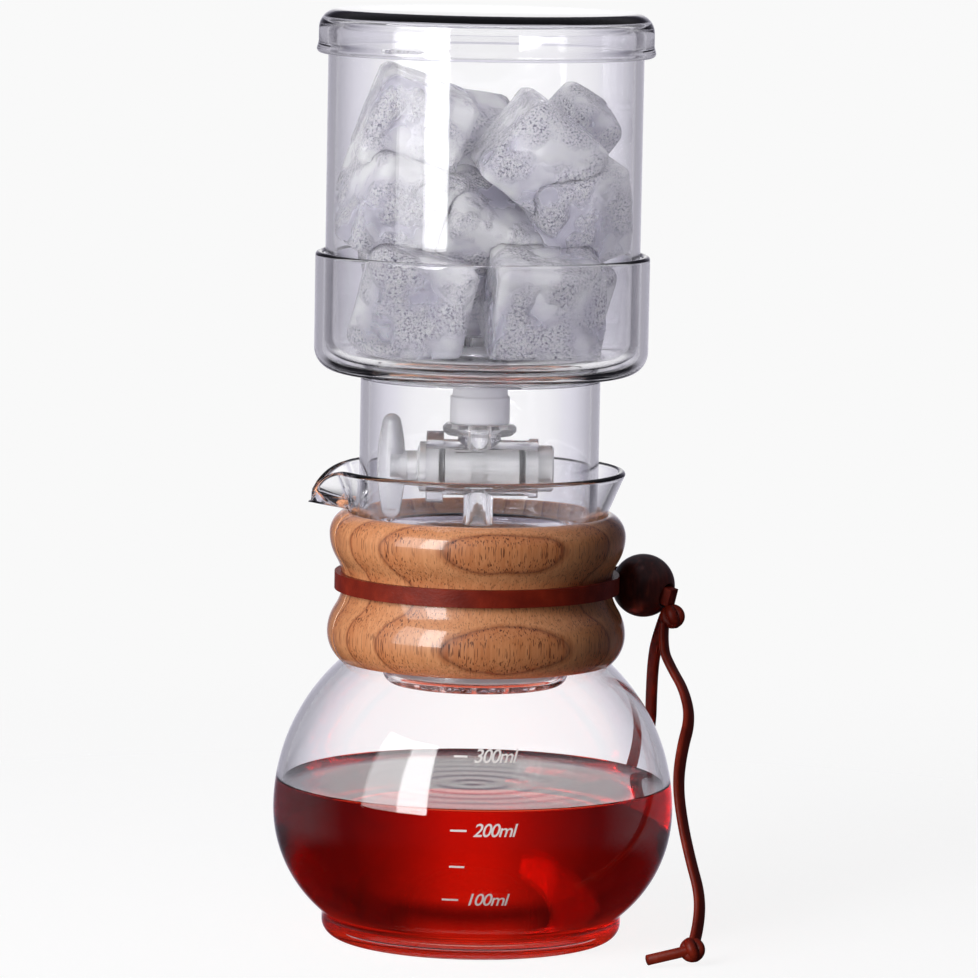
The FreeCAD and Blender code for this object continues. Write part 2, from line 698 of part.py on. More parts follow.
lace_corner = root(s.lace_width * s.lace_width / 4 + s.lace_thickness * s.lace_thickness)
bead_ball = on_hole(doc.addObject("Part::Sphere", "BeadBall"), none, none, none)
bind(bead_ball, "Radius", s.bead_radius)
bead_bore = on_hole(doc.addObject("Part::Cylinder", "BeadBore"), none, none, s.bead_radius * 2)
bind(bead_bore, "Radius", lace_corner + s.bead_gap)
bind(bead_bore, "Height", s.bead_radius * 4)
keep(combined("Part::Cut", "bead", bead_ball, bead_bore))

# The two ends of the lace pass through the bead side by side, from the ring to the knot.
lace_pair = doc.addObject("Part::Box", "LacePair")
bind(lace_pair, "Length", s.lace_width)
bind(lace_pair, "Width", s.lace_thickness * 2)
bind(lace_pair, "Height", s.bead_radius * 2 + s.lace_start + s.lace_end)
on_hole(lace_pair, s.lace_width / 2, s.lace_thickness, s.bead_radius + s.lace_start)
# A short lead of lace joins the ring to the mouth of the bead's hole.
hole_mouth = bead_centre - hole_turn.multVec(Vector(0, 0, s.bead_radius.value))
ring_side = Vector(hole_mouth.x, hole_mouth.y, 0).normalize() * (lace_inside + lace_outside).value / 2
ring_side.z = (lace_low + s.lace_width / 2).value
lace_lead = doc.addObject("Part::Cylinder", "LaceLead")
bind(lace_lead, "Radius", s.lace_thickness)
lace_lead.Height = (hole_mouth - ring_side).Length
lace_lead.Placement = Placement(ring_side, Rotation(Vector(0, 0, 1), hole_mouth - ring_side))
band = doc.addObject("Part::MultiFuse", "leather_band")
band.Shapes = [lace_ring, lace_lead, lace_pair]
band.Label = "leather_band"
keep(band)


def knot(name, centre, turn):
    """An overhand knot: two rings of lace that hug each other."""
    rings = []
    for number, about in enumerate((Vector(1, 0, 0), Vector(0, 1, 0))):
        ring = doc.addObject("Part::Torus", f"{name}Ring{number}")
        bind(ring, "Radius1", s.knot_radius)
        bind(ring, "Radius2", s.knot_lace)
        lean = Rotation(about, KNOT_LEAN) * Rotation(Vector(0, 0, 1), turn)
        ring.Placement = Placement(centre, lean)
        rings.append(ring)
    return combined("Part::Fuse", name, *rings)


tie_centre = bead_centre + hole_turn.multVec(Vector(0, 0, s.bead_radius.value + s.lace_end.value))
tie_centre.z -= (s.lace_width / 2 + s.knot_radius + s.knot_lace / 2).value
keep(knot("tie_knot", tie_centre, TIE_TURN))


def tube(name, points, radius):
    """A round tube along straight runs joined by tangent arcs, each as wide as its runs allow."""
    points = [Vector(*point) for point in points]
    edges, radii, start = [], [], points[0]
    for before, corner, after in zip(points, points[1:], points[2:]):
        back, ahead = before - corner, after - corner
        cut = BEND_SHARE * min(back.Length, ahead.Length)
        turn = math.pi - back.getAngle(ahead)
        bend = cut / math.tan(turn / 2)
        radii.append(bend)
        back.normalize()
        ahead.normalize()
        enter, leave = corner + back * cut, corner + ahead * cut
        inward = (back + ahead).normalize()
        middle = corner + inward * (math.hypot(cut, bend) - bend)
        edges.append(Part.LineSegment(start, enter).toShape())
        edges.append(Part.Arc(enter, middle, leave).toShape())
        start = leave
    edges.append(Part.LineSegment(start, points[-1]).toShape())
    path = Part.Wire(edges)
    direction = (points[1] - points[0]).normalize()
    ring = Part.Wire(Part.makeCircle(radius, points[0], direction))
    feature = doc.addObject("Part::Feature", name)
    feature.Label = name
    feature.Shape = path.makePipeShell([ring], True, False)
    expected = math.pi * radius ** 2 * path.Length
    print(f"{name}: length {path.Length:.1f}, radii {[round(bend, 1) for bend in radii]}, "
          f"volume {feature.Shape.Volume:.1f} of {expected:.1f}")
    return feature


def cut_end(name, start, reach, radius):
    """The short end of lace that sticks out of the last knot."""
    stub = doc.addObject("Part::Cylinder", name)
    stub.Placement = Placement(start, Rotation(Vector(0, 0, 1), reach))
    bind(stub, "Radius", radius)
    stub.Height = reach.Length
    return stub


for name, route, reach in (("front", FRONT_TAIL, FRONT_END), ("back", BACK_TAIL, BACK_END)):
    keep(tube("tail_" + name, route, s.tail_radius.value))
    last, before = Vector(*route[-1]), Vector(*route[-2])
    centre = last + (last - before).normalize() * s.knot_radius.value
    keep(combined(
        "Part::Fuse",
        "end_knot_" + name,
        knot(f"EndKnot{name}", centre, END_TURN),
        cut_end(f"CutEnd{name}", centre, Vector(*reach), s.knot_lace),
    ))


# ---- brew cup ---------------------------------------------------------------------------------
# The shoulder's curve rests in the funnel, which sets the height of the cup.
funnel_mouth = rim_radius - s.carafe_wall / slope_cosine
basket_radius = s.neck_radius - s.carafe_wall - s.basket_gap
basket_end_radius = basket_radius - s.basket_taper
cup_radius = basket_radius + s.shoulder_step
shoulder_curve = s.shoulder_step - s.shoulder_flat
shoulder_x = cup_radius - shoulder_curve
cup_height = rim_height - (
    (funnel_mouth - shoulder_x) * slope_cosine - (shoulder_curve + s.seat_gap)
) / slope_sine
inner_curve = shoulder_curve - s.cup_wall
outer_step = root(shoulder_curve * shoulder_curve - s.shoulder_flat * s.shoulder_flat)
basket_inside = basket_radius - s.cup_wall
basket_end_inside = basket_end_radius - s.cup_wall
tube_inside = cup_radius - s.cup_wall
tray_radius = s.jar_radius + s.tray_gap + s.cup_wall
tray_top = s.cup_tube_length + s.tray_height
tray_inside = tray_radius - s.cup_wall
tray_curve = s.tray_corner - s.cup_wall
rim_curve = s.cup_wall / 2
tray_floor = s.cup_tube_length + s.cup_wall
basket_curve = s.basket_corner - s.cup_wall

brew_cup = turned_body(
    "BrewCup",
    [(0, -s.basket_length),
     (basket_end_radius - s.basket_corner, -s.basket_length),
     quarter(basket_end_radius, s.basket_corner - s.basket_length, s.basket_corner),
     (basket_radius, -outer_step),
     (cup_radius, 0, shoulder_curve, 1),
     (cup_radius, s.cup_tube_length - s.tray_blend),
     quarter(cup_radius + s.tray_blend, s.cup_tube_length, s.tray_blend, -1),
     (tray_radius - s.tray_corner, s.cup_tube_length),
     quarter(tray_radius, s.cup_tube_length + s.tray_corner, s.tray_corner),
     (tray_radius, tray_top - rim_curve),
     quarter(tray_radius - rim_curve, tray_top, rim_curve),
     quarter(tray_inside, tray_top - rim_curve, rim_curve),
     (tray_inside, tray_floor + tray_curve),
     quarter(tray_radius - s.tray_corner, tray_floor, tray_curve, -1),
     (tube_inside + s.tray_edge, tray_floor),
     quarter(tube_inside, tray_floor - s.tray_edge, s.tray_edge),
     (tube_inside, 0),
     quarter(shoulder_x, -inner_curve, inner_curve, -1),
     (basket_inside + s.shoulder_edge, -inner_curve),
     quarter(basket_inside, -inner_curve - s.shoulder_edge, s.shoulder_edge),
     (basket_end_inside, s.basket_corner - s.basket_length),
     quarter(basket_end_radius - s.basket_corner, s.cup_wall - s.basket_length, basket_curve, -1),
     (0, s.cup_wall - s.basket_length)],
    z=cup_height,
)
hole_depth = s.cup_wall * 3
hole_rings = ((none, 1), (s.inner_hole_circle, 6), (s.outer_hole_circle, 12))
for number, (circle, count) in enumerate(hole_rings):
    hole = circle_sketch(brew_cup, f"DripHole{number}", s.drip_hole, x=circle, lift=-s.basket_length)
    cut = drilled(brew_cup, hole, hole_depth)
    if count > 1:
        ring_of(brew_cup, cut, count)
floor_end = cup_height - s.basket_length + s.basket_corner
tray_start = cup_height + s.cup_tube_length - s.tray_blend
lengths_of(brew_cup, (
    ("cup_floor", cup_height - s.basket_length, floor_end),
    ("cup_basket", floor_end, cup_height),
    ("cup_tube", cup_height, tray_start),
    ("cup_tray", tray_start, cup_height + tray_top),
))

# ---- filter -----------------------------------------------------------------------------------
filter_radius = basket_end_radius - s.basket_corner
filter_inside = filter_radius - s.filter_ring_width
screen_radius = filter_inside + s.filter_ring_width / 2
slot = s.screen_thickness / 2 + s.fit_gap
filter_height = cup_height - s.basket_length + s.cup_wall + s.seat_gap
middle = s.filter_ring_height / 2
keep(turned_body(
    "filter_ring",
    [(filter_inside, 0), (filter_radius, 0), (filter_radius, s.filter_ring_height),
     (filter_inside, s.filter_ring_height), (filter_inside, middle + slot),
     (screen_radius + s.fit_gap, middle + slot), (screen_radius + s.fit_gap, middle - slot),
     (filter_inside, middle - slot)],
    z=filter_height,
))
keep(turned_body(
    "filter_screen",
    [(0, middle - s.screen_thickness / 2), (screen_radius, middle - s.screen_thickness / 2),
     (screen_radius, middle + s.screen_thickness / 2), (0, middle + s.screen_thickness / 2)],
    z=filter_height,
))

# ---- ice jar and lid --------------------------------------------------------------------------
jar_height = cup_height + tray_floor + s.seat_gap
jar_rim = s.jar_wall / 2
jar_inside = s.jar_radius - s.jar_wall
jar_curve = s.jar_corner - s.jar_wall
keep(turned_body(
    "ice_jar",
    [(s.jar_hole, 0), (s.jar_radius - s.jar_corner, 0),
     quarter(s.jar_radius, s.jar_corner, s.jar_corner),
     (s.jar_radius, s.jar_height - jar_rim),
     quarter(s.jar_radius - jar_rim, s.jar_height, jar_rim),
     quarter(jar_inside, s.jar_height - jar_rim, jar_rim),
     (jar_inside, s.jar_floor + jar_curve),
     quarter(s.jar_radius - s.jar_corner, s.jar_floor, jar_curve, -1),
     (s.jar_hole, s.jar_floor)],
    z=jar_height,
))
lid_inside = s.jar_radius + s.lid_gap
lid_radius = lid_inside + s.lid_wall
lid_under = s.lid_depth - s.lid_glass
bead_curve = (s.lid_wall + s.lid_bead) / 2
keep(turned_body(
    "lid",
    [(lid_inside, bead_curve),
     quarter(lid_inside + bead_curve, 0, bead_curve),
     quarter(lid_inside + bead_curve * 2, bead_curve, bead_curve),
     (lid_radius, s.lid_bead_height),
     (lid_radius, s.lid_depth - s.lid_corner),
     quarter(lid_radius - s.lid_corner, s.lid_depth, s.lid_corner),
     (0, s.lid_depth), (0, lid_under), (lid_inside - s.lid_inner_corner, lid_under),
     quarter(lid_inside, lid_under - s.lid_inner_corner, s.lid_inner_corner, -1)],
    z=jar_height + s.jar_height + s.seat_gap - lid_under,
))

# ---- rubber plug ------------------------------------------------------------------------------
plug_bore = s.inlet_radius + s.fit_gap
plug_flange = s.jar_hole + s.plug_overlap
plug_low = -s.fit_gap - s.plug_flange_height
plug_step_top = plug_low - s.plug_neck_length
plug_end = plug_step_top - s.plug_step_length
plug_top = s.jar_floor + s.fit_gap
keep(turned_body(
    "jar_plug",
    [(plug_bore, plug_end), (s.plug_step, plug_end), (s.plug_step, plug_step_top),
     (s.plug_neck, plug_step_top), (s.plug_neck, plug_low), (plug_flange, plug_low),
     (plug_flange, -s.fit_gap), (s.jar_hole - s.fit_gap, -s.fit_gap),
     (s.jar_hole - s.fit_gap, plug_top), (plug_flange, plug_top),
     (plug_flange - s.plug_flange_height / 2, plug_top + s.plug_flange_height),
     (plug_bore, plug_top + s.plug_flange_height)],
    z=jar_height,
))

# ---- stopcock ---------------------------------------------------------------------------------
disc_top = s.barrel_drop
inlet_top = disc_top + s.fit_gap - plug_end + plug_top + s.plug_flange_height + s.inlet_rise
cock_height = jar_height + plug_end - s.fit_gap - disc_top
lever_offset = tube_inside - s.lever_gap - s.lever_radius
boss_end = s.boss_length - lever_offset
cheek_end = (
    -boss_end - s.fit_gap - s.cock_neck_length - s.cock_taper - s.cock_collar_width - s.running_gap
)
barrel_left = cheek_end - s.cheek_width
bore = s.cock_radius + s.running_gap
valve = keep(new_body("valve_body", z=cock_height))
turn_about(valve, outline(valve, "ValveUpright", [
    (0, -s.nozzle_length), (s.nozzle_radius, -s.nozzle_length), (s.nozzle_radius, 0),
    (s.hub_radius, 0), (s.hub_radius, disc_top - s.disc_height),
    (s.disc_radius - s.disc_edge, disc_top - s.disc_height),
    (s.disc_radius, disc_top - s.disc_height + s.disc_edge),
    (s.disc_radius, disc_top - s.disc_edge),
    (s.disc_radius - s.disc_edge, disc_top), (s.inlet_radius, disc_top),
    (s.inlet_radius, inlet_top), (0, inlet_top),
]))
turn_about(valve, outline(valve, "ValveBarrel", [
    (-cheek_end, 0), (s.barrel_right, 0), (s.barrel_right, s.band_radius),
    (s.barrel_right - s.band_width, s.band_radius),
    (s.barrel_right - s.band_width, s.barrel_radius), (-barrel_left, s.barrel_radius),
    (-barrel_left, s.cheek_radius), (-cheek_end, s.cheek_radius),
]), axis="H_Axis")
turn_about(valve, outline(valve, "ValveBore", [
    (-cheek_end - 1, 0), (s.barrel_right + 1, 0), (s.barrel_right + 1, bore), (-cheek_end - 1, bore),
]), axis="H_Axis", cut=True)
drilled(valve, circle_sketch(valve, "ValvePassage", s.inlet_bore), inlet_top * 3)

shoulder_right = -cheek_end - s.running_gap
shoulder_left = shoulder_right - s.cock_collar_width
seal_circle = s.cock_radius - s.seal_thickness
groove = seal_circle - s.seal_thickness - s.fit_gap
seal_places = (-cheek_end + s.seal_inset, s.barrel_right - s.seal_inset)
groove_half = s.seal_thickness + s.fit_gap
cap_start = s.barrel_right + s.running_gap
cap_end = cap_start + s.cap_width
spigot_end = cap_start + s.spigot_length
cock_corners = [
    (-lever_offset, 0), (spigot_end, 0), (spigot_end, s.spigot_radius),
    (cap_start, s.spigot_radius), (cap_start, s.cock_radius),
]
for place_x in reversed(seal_places):
    cock_corners += [
        (place_x + groove_half, s.cock_radius), (place_x + groove_half, groove),
        (place_x - groove_half, groove), (place_x - groove_half, s.cock_radius),
    ]
cock_corners += [
    (shoulder_right, s.cock_radius), (shoulder_right, s.cock_collar),
    (shoulder_left, s.cock_collar), (shoulder_left - s.cock_taper, s.cock_neck),
    (boss_end + s.fit_gap, s.cock_neck), (boss_end + s.fit_gap, s.spigot_radius),
    (-lever_offset, s.spigot_radius),
]
cock = keep(new_body("valve_cock", z=cock_height))
turn_about(cock, outline(cock, "CockOutline", cock_corners), axis="H_Axis")
drilled(cock, circle_sketch(cock, "CockPort", s.inlet_bore), s.cock_radius * 3)

seals = []
for number, place_x in enumerate(seal_places):
    seal = doc.addObject("Part::Torus", f"Seal{number}")
    bind(seal, "Radius1", seal_circle)
    bind(seal, "Radius2", s.seal_thickness)
    seal.Placement = Placement(Vector(), Rotation(Vector(0, 1, 0), 90))
    place(seal, x=place_x, z=cock_height)
    seals.append(seal)
seal_pair = doc.addObject("Part::Compound", "cock_seals")
seal_pair.Links = seals
seal_pair.Label = "cock_seals"
keep(seal_pair)

cap_hole = s.spigot_radius + s.fit_gap
keep(turned_body(
    "retaining_cap",
    [(spigot_end + s.fit_gap, 0), (cap_end, 0), (cap_end, s.cap_radius - s.cap_edge),
     (cap_end - s.cap_edge, s.cap_radius), (cap_start, s.cap_radius), (cap_start, cap_hole),
     (spigot_end + s.fit_gap, cap_hole)],
    axis="H_Axis",
    z=cock_height,
))

lever_half = s.lever_length / 2
lever_straight = lever_half - s.lever_end_radius
lever_bow = bow(s.lever_radius - s.lever_end_radius, lever_straight)
lever = keep(new_body("lever_handle", x=-lever_offset, z=cock_height))
turn_about(lever, outline(lever, "LeverOutline", [
    (0, -lever_half), quarter(s.lever_end_radius, -lever_straight, s.lever_end_radius),
    (s.lever_end_radius, lever_straight, lever_bow, 1),
    quarter(0, lever_half, s.lever_end_radius),
]))
turn_about(lever, outline(lever, "LeverBoss", [
    (0, 0), (s.boss_length, 0), (s.boss_length, s.cock_neck), (0, s.boss_root),
]), axis="H_Axis")
turn_about(lever, outline(lever, "LeverSocket", [
    (-s.fit_gap, 0), (s.boss_length * 2, 0), (s.boss_length * 2, cap_hole), (-s.fit_gap, cap_hole),
]), axis="H_Axis", cut=True)

# ---- ice --------------------------------------------------------------------------------------
ice_over_inlet = plug_top + s.plug_flange_height + s.inlet_rise + s.seat_gap
ice_room = turned_body(
    "IceRoom",
    [(0, ice_over_inlet), (plug_flange + s.seat_gap, ice_over_inlet),
     (plug_flange + s.seat_gap, s.jar_floor + s.seat_gap),
     (s.jar_radius - s.jar_corner, s.jar_floor + s.seat_gap),
     quarter(jar_inside - s.seat_gap, s.jar_floor + jar_curve, jar_curve - s.seat_gap),
     (jar_inside - s.seat_gap, s.jar_height), (0, s.jar_height)],
    z=jar_height,
)
earlier = []
for number, (centre, scale, about, angle) in enumerate(ICE, start=1):
    cube = doc.addObject("Part::Box", f"Cube{number}")
    for field in ("Length", "Width", "Height"):
        bind(cube, field, s.ice_edge * scale)
    half = s.ice_edge.value * scale / 2
    rotation = Rotation(Vector(*about), angle)
    corner = Vector(*centre) * s.ice_edge.value - rotation.multVec(Vector(half, half, half))
    cube.Placement = Placement(corner + Vector(0, 0, (jar_height + s.jar_floor).value), rotation)
    melted = doc.addObject("Part::Chamfer", f"Melted{number}")
    melted.Base = cube
    melted.Edges = [(edge, s.ice_chamfer.value, s.ice_chamfer.value) for edge in range(1, 13)]
    piece = combined("Part::Common", f"Ice{number}", melted, ice_room)
    if earlier:
        pile = earlier[0]
        if len(earlier) > 1:
            pile = doc.addObject("Part::MultiFuse", f"Pile{number}")
            pile.Shapes = list(earlier)
        piece = combined("Part::Cut", f"Ice{number}Clear", piece, pile)
    piece.Label = f"ice_cube_{number:02d}"
    keep(piece)
    earlier.append(melted)

# ---- check and write --------------------------------------------------------------------------
doc.recompute()
for item in doc.Objects:
    if {"Invalid", "Error"} & set(item.State):
        raise RuntimeError(f"{item.Label} failed: {item.State}")
os.makedirs("parts", exist_ok=True)
for piece in pieces:
    shape = piece.Shape
    if shape.isNull() or not shape.isValid():
        raise RuntimeError(f"{piece.Label} has no valid shape")
    box = shape.BoundBox
    print(f"{piece.Label:16s} solids {len(shape.Solids)} volume {shape.Volume:10.1f} "
          f"x {box.XMin:7.2f} {box.XMax:7.2f} y {box.YMin:7.2f} {box.YMax:7.2f} "
          f"z {box.ZMin:7.2f} {box.ZMax:7.2f}")
    shape.exportStep(f"parts/{piece.Label}.step")
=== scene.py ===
# %% [markdown]
# # A cold drip coffee tower
#
# Ice melts in the top jar, a small stopcock lets the water fall drop by drop onto ground coffee
# in the glass cup, and the coffee gathers in the round carafe. Almost everything is glass, so
# this lesson is about what makes glass readable: closed walls of a real thickness, surroundings
# that are bright in one direction and darker in another, and rounded edges that catch them.
# The construction comes from a frame of plain solids, and every new piece stays in the
# place of the solid that it stands for.

# %% Load the frame
import math

import bmesh
import bpy
from mathutils import Matrix, Vector, noise


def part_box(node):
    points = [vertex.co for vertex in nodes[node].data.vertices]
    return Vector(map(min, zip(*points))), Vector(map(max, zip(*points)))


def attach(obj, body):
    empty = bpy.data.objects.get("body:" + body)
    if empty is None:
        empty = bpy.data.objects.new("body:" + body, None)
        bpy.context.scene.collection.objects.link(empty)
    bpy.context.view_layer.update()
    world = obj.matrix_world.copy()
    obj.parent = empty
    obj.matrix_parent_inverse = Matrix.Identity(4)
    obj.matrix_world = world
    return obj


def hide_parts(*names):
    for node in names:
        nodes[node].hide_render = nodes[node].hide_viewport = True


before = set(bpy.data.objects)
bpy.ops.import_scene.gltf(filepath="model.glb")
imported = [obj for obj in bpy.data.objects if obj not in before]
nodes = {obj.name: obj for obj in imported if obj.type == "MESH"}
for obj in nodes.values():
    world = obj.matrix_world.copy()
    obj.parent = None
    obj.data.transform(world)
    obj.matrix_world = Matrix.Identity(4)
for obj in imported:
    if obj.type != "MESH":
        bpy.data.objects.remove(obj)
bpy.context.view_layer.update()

# %% [markdown]
# ## Units and the camera
#
# The sizes of an object this small read best in millimetres, so they are written that way and
# turned to metres in one place. The camera is a long lens from a little above the carafe, which
# keeps the sides nearly parallel while the rims still show as thin ellipses. A small shift puts
# the tower left of the middle, where the hanging lace balances it.

# %% Units and the camera
MM = 0.001
EYE = Vector((0.0, -1568.0, 295.5)) * MM
AIM = Vector((0.0, 0.0, 115.2)) * MM
ROLL = math.radians(1.05)
LENS = 227.9
SENSOR = 36.0
SHIFT_RIGHT = 0.0107


def look(eye, aim, roll):
    """The turn that points a camera from eye to aim, leaning by roll."""
    ahead = (aim - eye).normalized()
    right = ahead.cross(Vector((0, 0, 1))).normalized()
    up = right.cross(ahead)
    leaning_right = right * math.cos(roll) + up * math.sin(roll)
    leaning_up = up * math.cos(roll) - right * math.sin(roll)
    turn = Matrix((leaning_right, leaning_up, -ahead)).transposed()
    return Matrix.Translation(eye) @ turn.to_4x4()


lens = bpy.data.cameras.new("camera")
lens.lens = LENS
lens.sensor_width = SENSOR
lens.shift_x = SHIFT_RIGHT
camera = bpy.data.objects.new("camera", lens)
camera.matrix_world = look(EYE, AIM, ROLL)
bpy.context.scene.collection.objects.link(camera)
bpy.context.scene.camera = camera
print(f"camera {EYE.length:.2f} m away, {math.degrees(lens.angle):.1f} degrees wide")

# %% [markdown]
# ## Colours and nodes
#
# Colours are picked as the hex values that a screen shows. Shaders work with linear light, so
# one function turns one into the other. Another adds a node, sets its fields, places its colour
# stops where it has any and wires its sockets, so that each material stays a few plain lines.

# %% Colours and nodes
def linear(hex_colour):
    """An sRGB hex colour as linear red, green, blue and alpha."""
    channels = [int(hex_colour[i:i + 2], 16) / 255 for i in (1, 3, 5)]
    return tuple(c / 12.92 if c <= 0.04045 else ((c + 0.055) / 1.055) ** 2.4 for c in channels) + (1,)


def add_node(tree, kind, inputs=None, stops=(), **fields):
    """A new node. Each input is a constant, or another node's output to link."""
    made = tree.nodes.new("ShaderNode" + kind)
    for field, value in fields.items():
        setattr(made, field, value)
    for socket, value in (inputs or {}).items():
        if isinstance(value, bpy.types.NodeSocket):
            tree.links.new(value, made.inputs[socket])
        else:
            made.inputs[socket].default_value = value
    if stops:
        for _ in stops[2:]:
            made.color_ramp.elements.new(0.5)
        for element, (position, colour) in zip(made.color_ramp.elements, stops):
            element.position = position
            element.color = linear(colour)
    return made


def new_material(name, **sockets):
    """A material with its node tree and its shader; constants go straight on the sockets."""
    made = bpy.data.materials.new(name)
    made.use_nodes = True
    shader = made.node_tree.nodes["Principled BSDF"]
    for socket, value in sockets.items():
        shader.inputs[socket.replace("_", " ")].default_value = value
    return made, made.node_tree, shader


def place_on(tree, size, centre=(0, 0, 0)):
    """Object coordinates from a centre, counted in steps of size millimetres along each axis."""
    steps = [1 / (part * MM) for part in size]
    start = Matrix.Diagonal(steps) @ Vector(centre) * -MM
    where = add_node(tree, "TexCoord").outputs["Object"]
    mapping = add_node(tree, "Mapping", {"Vector": where, "Location": start, "Scale": steps})
    return mapping.outputs["Vector"]


# %% [markdown]
# ## Surroundings
#
# Clear glass has no colour of its own: what draws it is what its edges bend in from the side. So
# the glass sees a small bright panel straight behind it, which falls off through lavender grey to
# a dark room. That draws each edge as a soft grey band, and leaves the coffee bright only in the
# middle. Light that has crossed many walls, as in the ice, comes from a paler room, and so does a
# share of what goes on through one thin wall, because no real studio is quite black at its sides.

# %% The room behind the glass
# heights are those of a direction of length 1: 0 is level and 1 straight up
PANEL_TOP, PANEL_TOP_FALL = 0.165, 3.3
ROOM = (
    # degrees away from straight behind
    (0, "#FFFFFF"), (3, "#F8F7FA"), (6, "#D8D6E0"), (9, "#B8B6C2"), (13, "#9492A0"), (19, "#666470"),
    (30, "#47444F"), (70, "#35323B"), (180, "#1C1A20"),
)
PALE_ROOM = "#EBE9F2"
# surfaces crossed since the eye: a single wall of glass has two
MANY_WALLS = (6, 10)
THIN_WALLS, THIN_SPREAD = 3.0, 1.5
# a direction's part away from the eye, from where the share starts to where it is full
THIN_SHARE, THIN_ONWARD = 0.50, (-0.15, 0.35)

world = bpy.data.worlds.new("studio")
bpy.context.scene.world = world
world.use_nodes = True
air = world.node_tree
direction = add_node(air, "TexCoord").outputs["Generated"]
towards = add_node(air, "SeparateXYZ", {"Vector": direction}).outputs
seen = add_node(air, "LightPath").outputs
crossings = seen["Transmission Depth"]

over_panel = add_node(
    air, "MapRange", {"Value": towards["Z"], "From Min": PANEL_TOP, "To Max": PANEL_TOP_FALL},
)
level_way = add_node(
    air, "CombineXYZ", {"X": towards["X"], "Y": towards["Y"], "Z": over_panel.outputs["Result"]},
)
one_long = add_node(air, "VectorMath", {0: level_way.outputs[0]}, operation="NORMALIZE")
straight = add_node(air, "SeparateXYZ", {"Vector": one_long.outputs["Vector"]})
aside = add_node(air, "Math", {0: straight.outputs["Y"]}, operation="ARCCOSINE")
turn = add_node(air, "MapRange", {"Value": aside.outputs[0], "From Max": math.pi})
clear_room = add_node(
    air, "ValToRGB", {"Fac": turn.outputs["Result"]},
    stops=[(degrees / 180, colour) for degrees, colour in ROOM],
)
crossed = add_node(
    air, "MapRange", {"Value": crossings, "From Min": MANY_WALLS[0], "From Max": MANY_WALLS[1]},
)
thin_wall = add_node(air, "Math", {0: crossings, 1: THIN_WALLS, 2: THIN_SPREAD}, operation="COMPARE")
onward = add_node(
    air, "MapRange",
    {"Value": towards["Y"], "From Min": THIN_ONWARD[0], "From Max": THIN_ONWARD[1], "To Max": THIN_SHARE},
)
thin_share = add_node(
    air, "Math", {0: thin_wall.outputs[0], 1: onward.outputs["Result"]}, operation="MULTIPLY",
)
paler = add_node(
    air, "Math", {0: crossed.outputs["Result"], 1: thin_share.outputs[0]}, operation="MAXIMUM",
)
room = add_node(
    air, "Mix", {"Factor": paler.outputs[0], "A": clear_room.outputs["Color"], "B": linear(PALE_ROOM)},
    data_type="RGBA", blend_type="LIGHTEN",
)
print(f"a room of {len(ROOM)} tones")

# %% [markdown]
# ## Ceiling and table
#
# Overhead is a pale ceiling. Inside glass it shows in full, and on the outside of glass only as a
# trace. Light that leaves through the coffee meets it lower down, in the middle, which lets the
# carafe's foot glow. Underneath it is dark, but the coffee's surface mirrors a white table.

# %% Ceiling and table
# a count above this is one or more
AT_ALL = 0.5
CEILING, CEILING_RISE = "#E2E0EA", (0.30, 0.55)
CEILING_OUTSIDE, INSIDE_GLASS = 0.15, 2.5
THROUGH_COFFEE = 5.5
LOWER_RISE, LOWER_WIDTH, LOWER_ASIDE = (0.22, 0.34), (0.06, 0.26), 0.06
UNDERNEATH, TABLE, TABLE_FALL = "#17161A", "#FFFFFF", (-0.18, -0.40)

overhead = add_node(
    air, "MapRange", {"Value": towards["Z"], "From Min": CEILING_RISE[0], "From Max": CEILING_RISE[1]},
    interpolation_type="SMOOTHSTEP",
)
in_glass = add_node(air, "Math", {0: crossings, 1: INSIDE_GLASS}, operation="GREATER_THAN")
ceiling_share = add_node(air, "Math", {0: in_glass.outputs[0], 1: CEILING_OUTSIDE}, operation="MAXIMUM")
overhead_share = add_node(
    air, "Math", {0: overhead.outputs["Result"], 1: ceiling_share.outputs[0]}, operation="MULTIPLY",
)
through_coffee = add_node(air, "Math", {0: crossings, 1: THROUGH_COFFEE}, operation="GREATER_THAN")
lower_ceiling = add_node(
    air, "MapRange", {"Value": towards["Z"], "From Min": LOWER_RISE[0], "From Max": LOWER_RISE[1]},
    interpolation_type="SMOOTHSTEP",
)
sideways = add_node(air, "Math", {0: towards["X"]}, operation="ABSOLUTE")
ahead = add_node(
    air, "MapRange",
    {"Value": sideways.outputs[0], "From Min": LOWER_WIDTH[0], "From Max": LOWER_WIDTH[1],
     "To Min": 1.0, "To Max": LOWER_ASIDE},
    interpolation_type="SMOOTHSTEP",
)
lower_ahead = add_node(
    air, "Math", {0: lower_ceiling.outputs["Result"], 1: ahead.outputs["Result"]}, operation="MULTIPLY",
)
lower_share = add_node(
    air, "Math", {0: lower_ahead.outputs[0], 1: through_coffee.outputs[0]}, operation="MULTIPLY",
)
whole_ceiling = add_node(
    air, "Math", {0: overhead_share.outputs[0], 1: lower_share.outputs[0]}, operation="MAXIMUM",
)
underfoot = add_node(
    air, "MapRange", {"Value": towards["Z"], "From Min": TABLE_FALL[0], "From Max": TABLE_FALL[1]},
    interpolation_type="SMOOTHSTEP",
)
mirrored = add_node(air, "Math", {0: seen["Glossy Depth"], 1: AT_ALL}, operation="GREATER_THAN")
from_table = add_node(
    air, "Math", {0: mirrored.outputs[0], 1: through_coffee.outputs[0]}, operation="MULTIPLY",
)
below = add_node(
    air, "Mix", {"Factor": from_table.outputs[0], "A": linear(UNDERNEATH), "B": linear(TABLE)},
    data_type="RGBA",
)
sides = add_node(
    air, "Mix",
    {"Factor": underfoot.outputs["Result"], "A": room.outputs["Result"], "B": below.outputs["Result"]},
    data_type="RGBA",
)
